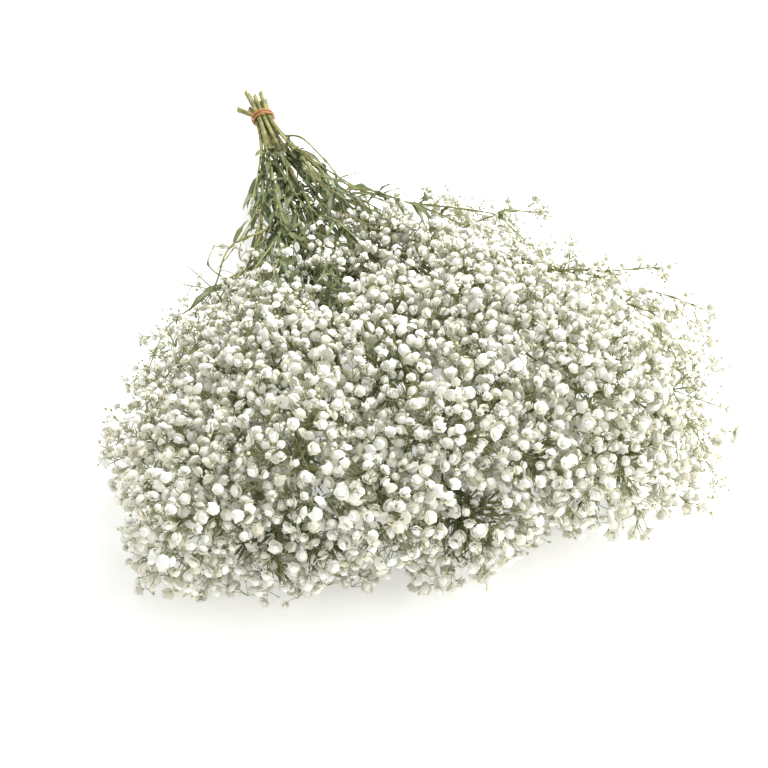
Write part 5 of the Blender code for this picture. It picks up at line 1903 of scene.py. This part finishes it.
def add_strap(surface):
    """An endless strap that winds round the bundle of stems and crosses itself.

    It goes round STRAP_TURNS times while it sways once along the stems, y = sway sin(2 pi s). Where
    it crosses itself it lies further out by its thickness, by half a cosine of the turns."""
    share = np.linspace(0, 1, STRAP_RINGS, endpoint=False)
    laps = share * math.tau * STRAP_TURNS % math.tau
    ways = round_ways(np.linspace(0, math.tau, RIM_STEPS + 1)[:-1])
    centres = np.array([[stem.column * STEM_PITCH, stem.row * ROW_PITCH] for stem in STEMS])
    outermost = centres[(centres @ ways.T).argmax(axis=0)]
    rim = outermost + ways * (STEM_RADIUS + STRAP_THICKNESS / 2)
    turn = np.unwrap(np.arctan2(rim[:, 1], rim[:, 0]))
    base = np.interp(laps, turn - turn[0], np.hypot(rim[:, 0], rim[:, 1]), period=math.tau)
    radius = base + 0.5 * STRAP_THICKNESS * (1 + np.cos(math.tau * share * (STRAP_TURNS + 1)))
    section = strap_section()
    along = (STRAP_SWAY * np.sin(math.tau * share))[:, None] + section[None, :, 0]
    around = round_ways(laps)[:, None] * (radius[:, None, None] + section[None, :, 1:])
    points = np.stack([around[..., 0], along, around[..., 1] + BAND_HEIGHT], axis=-1)
    quads, _ = ring_faces(1, STRAP_RINGS, STRAP_CORNERS, closed=True)
    surface.add(points, quads[:, ::-1])


# Operators


def hung(piece, nodes):
    """Hangs the piece on the frame's one body, in the place of those nodes."""
    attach(piece, "root")
    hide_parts(*nodes)


def grow_on_sprays(context, add, kind, looks):
    """For each stem one piece of that kind, in which add puts what its sprays carry."""
    settings = context.scene.bunch_flowers
    sizes = settings.near_radius, settings.far_radius
    cymes = all_cymes(sizes)
    for number in range(len(STEMS)):
        sprays = sprays_of(number)
        flowers, buds = (heads_of(heads, cymes, sprays) for heads in all_heads(sizes))
        surface = Surface()
        add(surface, flowers, buds, cymes, randoms(kind, number))
        piece = surface.make(f"{kind}_of_stem_{number + 1:02d}", looks, CREASES[kind])
        hung(piece, [f"spray_{spray + 1:02d}" for spray in sprays])


class BUNCH_OT_leafy_stems(bpy.types.Operator):
    """Grow the ten stems with their branches and leaves"""

    bl_idname = "bunch.leafy_stems"
    bl_label = "Leafy stems"

    def execute(self, context):
        greens = context.scene.bunch_greens
        skin = green_skin("green stem skin", greens.stem, greens.stem_dark)
        # Freshly cut pith: pale and dry, so it has no shine
        pith = start_material("cut stem pith", greens.pith, 0.75)
        blade = leaf_blade("leaf blade", greens.leaf, greens.leaf_light)
        for number in range(len(STEMS)):
            rng = randoms("greens", number)
            node = f"stem_{number + 1:02d}"
            stem, leaves = Surface(), Surface()
            add_stem(stem, number, rng)
            for add in (add_branches, add_wisps, add_shoots):
                add(stem, number)
            hung(stem.make(f"green_{node}", [skin, pith], CREASES["green"]), [node])
            for blades in (
                solid_leaves(number), neck_leaves(number, rng), inner_leaves(number, rng),
                shoot_leaves(number, rng), wisp_leaves(number),
            ):
                add_blades(leaves, blades, rng)
            piece = leaves.make(f"leaves_of_{node}", [blade], CREASES["leaves"], "across")
            hung(piece, [node])
        return {"FINISHED"}


class BUNCH_OT_stalks(bpy.types.Operator):
    """Grow the forked stalks that carry the flowers and buds"""

    bl_idname = "bunch.stalks"
    bl_label = "Flower stalks"

    def execute(self, context):
        greens = context.scene.bunch_greens
        # Smooth young skin, paler than the stems', with a faint satin; the narrow leaves inside are matt,
        # and their darker green is painted shade
        looks = [
            start_material("thin green stalk", greens.stalk, 0.55),
            start_material("green calyx", greens.calyx, 0.55),
            start_material("narrow leaf of painted shade", greens.shaded, 0.6),
        ]
        grow_on_sprays(context, add_stalks, "stalks", looks)
        return {"FINISHED"}


class BUNCH_OT_flowers(bpy.types.Operator):
    """Open the small double flowers and set the closed buds"""

    bl_idname = "bunch.flowers"
    bl_label = "Flowers and buds"

    def execute(self, context):
        tints = context.scene.bunch_flowers
        looks = [
            petal("white petal", tints.white),
            petal("ivory petal", tints.ivory),
            petal("cream petal", tints.cream),
            petal("bud tip", tints.bud),
        ]
        grow_on_sprays(context, add_blossoms, "flowers", looks)
        return {"FINISHED"}


class BUNCH_OT_tie(bpy.types.Operator):
    """Wind the rubber band round the stems"""

    bl_idname = "bunch.tie"
    bl_label = "Rubber band"

    def execute(self, context):
        # Moulded natural rubber: one even tone with a soft sheen where it is stretched
        rubber = start_material("natural rubber", context.scene.bunch_tie.rubber, 0.42)
        strap = Surface()
        add_strap(strap)
        hung(strap.make("rubber_band", [rubber], CREASES["band"]), ["band"])
        return {"FINISHED"}


def add_lamp(name, place, size, power):
    """A square soft lamp aimed at the view's target."""
    lamp = bpy.data.lights.new(name, "AREA")
    lamp.size, lamp.energy = size, power
    thing = bpy.data.objects.new(name, lamp)
    thing.location = place
    thing.rotation_euler = (Vector(VIEW_TARGET) - Vector(place)).to_track_quat("-Z", "Y").to_euler()
    bpy.context.scene.collection.objects.link(thing)


class BUNCH_OT_stage(bpy.types.Operator):
    """Lay the pale floor and set the soft lights and the camera"""

    bl_idname = "bunch.stage"
    bl_label = "Floor, light and camera"

    def execute(self, context):
        scene, stage = context.scene, context.scene.bunch_stage
        white = (1.0, 1.0, 1.0, 1.0)
        # A cast sheet of opal acrylic: it glows evenly, so the shadows on it stay pale
        acrylic = start_material(
            "opal acrylic lit from below", stage.floor, 0.9, Specular_IOR_Level=0.1,
            Emission_Color=white, Emission_Strength=stage.glow,
        )
        mesh = bpy.data.meshes.new("floor")
        sides = (-FLOOR_HALF, FLOOR_HALF)
        corners = [(x, y, -FLOOR_DROP) for y in sides for x in sides]
        mesh.from_pydata(corners, [], [(0, 1, 3, 2)])
        mesh.materials.append(acrylic)
        floor = bpy.data.objects.new("floor", mesh)
        scene.collection.objects.link(floor)
        world = bpy.data.worlds.new("soft sky")
        world.use_nodes = True
        sky = world.node_tree.nodes["Background"]
        sky.inputs["Color"].default_value = white
        sky.inputs["Strength"].default_value = stage.sky
        scene.world = world
        add_lamp("key", *KEY_LAMP, stage.key)
        add_lamp("fill", *FILL_LAMP, stage.fill)
        back = Vector(view_way())
        lens = bpy.data.cameras.new("camera")
        lens.lens, lens.sensor_width = LENS_MM, SENSOR_MM
        camera = bpy.data.objects.new("camera", lens)
        camera.location = Vector(VIEW_TARGET) + back * VIEW_DISTANCE
        camera.rotation_euler = (-back).to_track_quat("-Z", "Y").to_euler()
        scene.collection.objects.link(camera)
        scene.camera = camera
        scene.view_settings.view_transform = "Standard"
        return {"FINISHED"}


OPERATORS = (
    BUNCH_OT_leafy_stems,
    BUNCH_OT_stalks,
    BUNCH_OT_flowers,
    BUNCH_OT_tie,
    BUNCH_OT_stage,
)
SETTINGS = {
    "bunch_flowers": BunchFlowers,
    "bunch_greens": BunchGreens,
    "bunch_tie": BunchTie,
    "bunch_stage": BunchStage,
}


class BUNCH_PT_panel(bpy.types.Panel):
    """Lists the settings and the steps in the order they are taken."""

    bl_label = "Gypsophila bunch"
    bl_idname = "BUNCH_PT_panel"
    bl_space_type = "VIEW_3D"
    bl_region_type = "UI"
    bl_category = "Bunch"

    def draw(self, context):
        for name, group in SETTINGS.items():
            box = self.layout.box()
            for key in group.__annotations__:
                box.prop(getattr(context.scene, name), key)
        for operator in OPERATORS:
            self.layout.operator(operator.bl_idname)


def register():
    for kind in (*SETTINGS.values(), *OPERATORS, BUNCH_PT_panel):
        bpy.utils.register_class(kind)
    for name, group in SETTINGS.items():
        setattr(bpy.types.Scene, name, bpy.props.PointerProperty(type=group))


def unregister():
    for name in SETTINGS:
        delattr(bpy.types.Scene, name)
    for kind in reversed((*SETTINGS.values(), *OPERATORS, BUNCH_PT_panel)):
        bpy.utils.unregister_class(kind)


def main():
    """Grows every piece and sets the stage."""
    register()
    bpy.ops.bunch.leafy_stems()
    bpy.ops.bunch.stalks()
    bpy.ops.bunch.flowers()
    bpy.ops.bunch.tie()
    bpy.ops.bunch.stage()


if __name__ == "__main__":
    main()
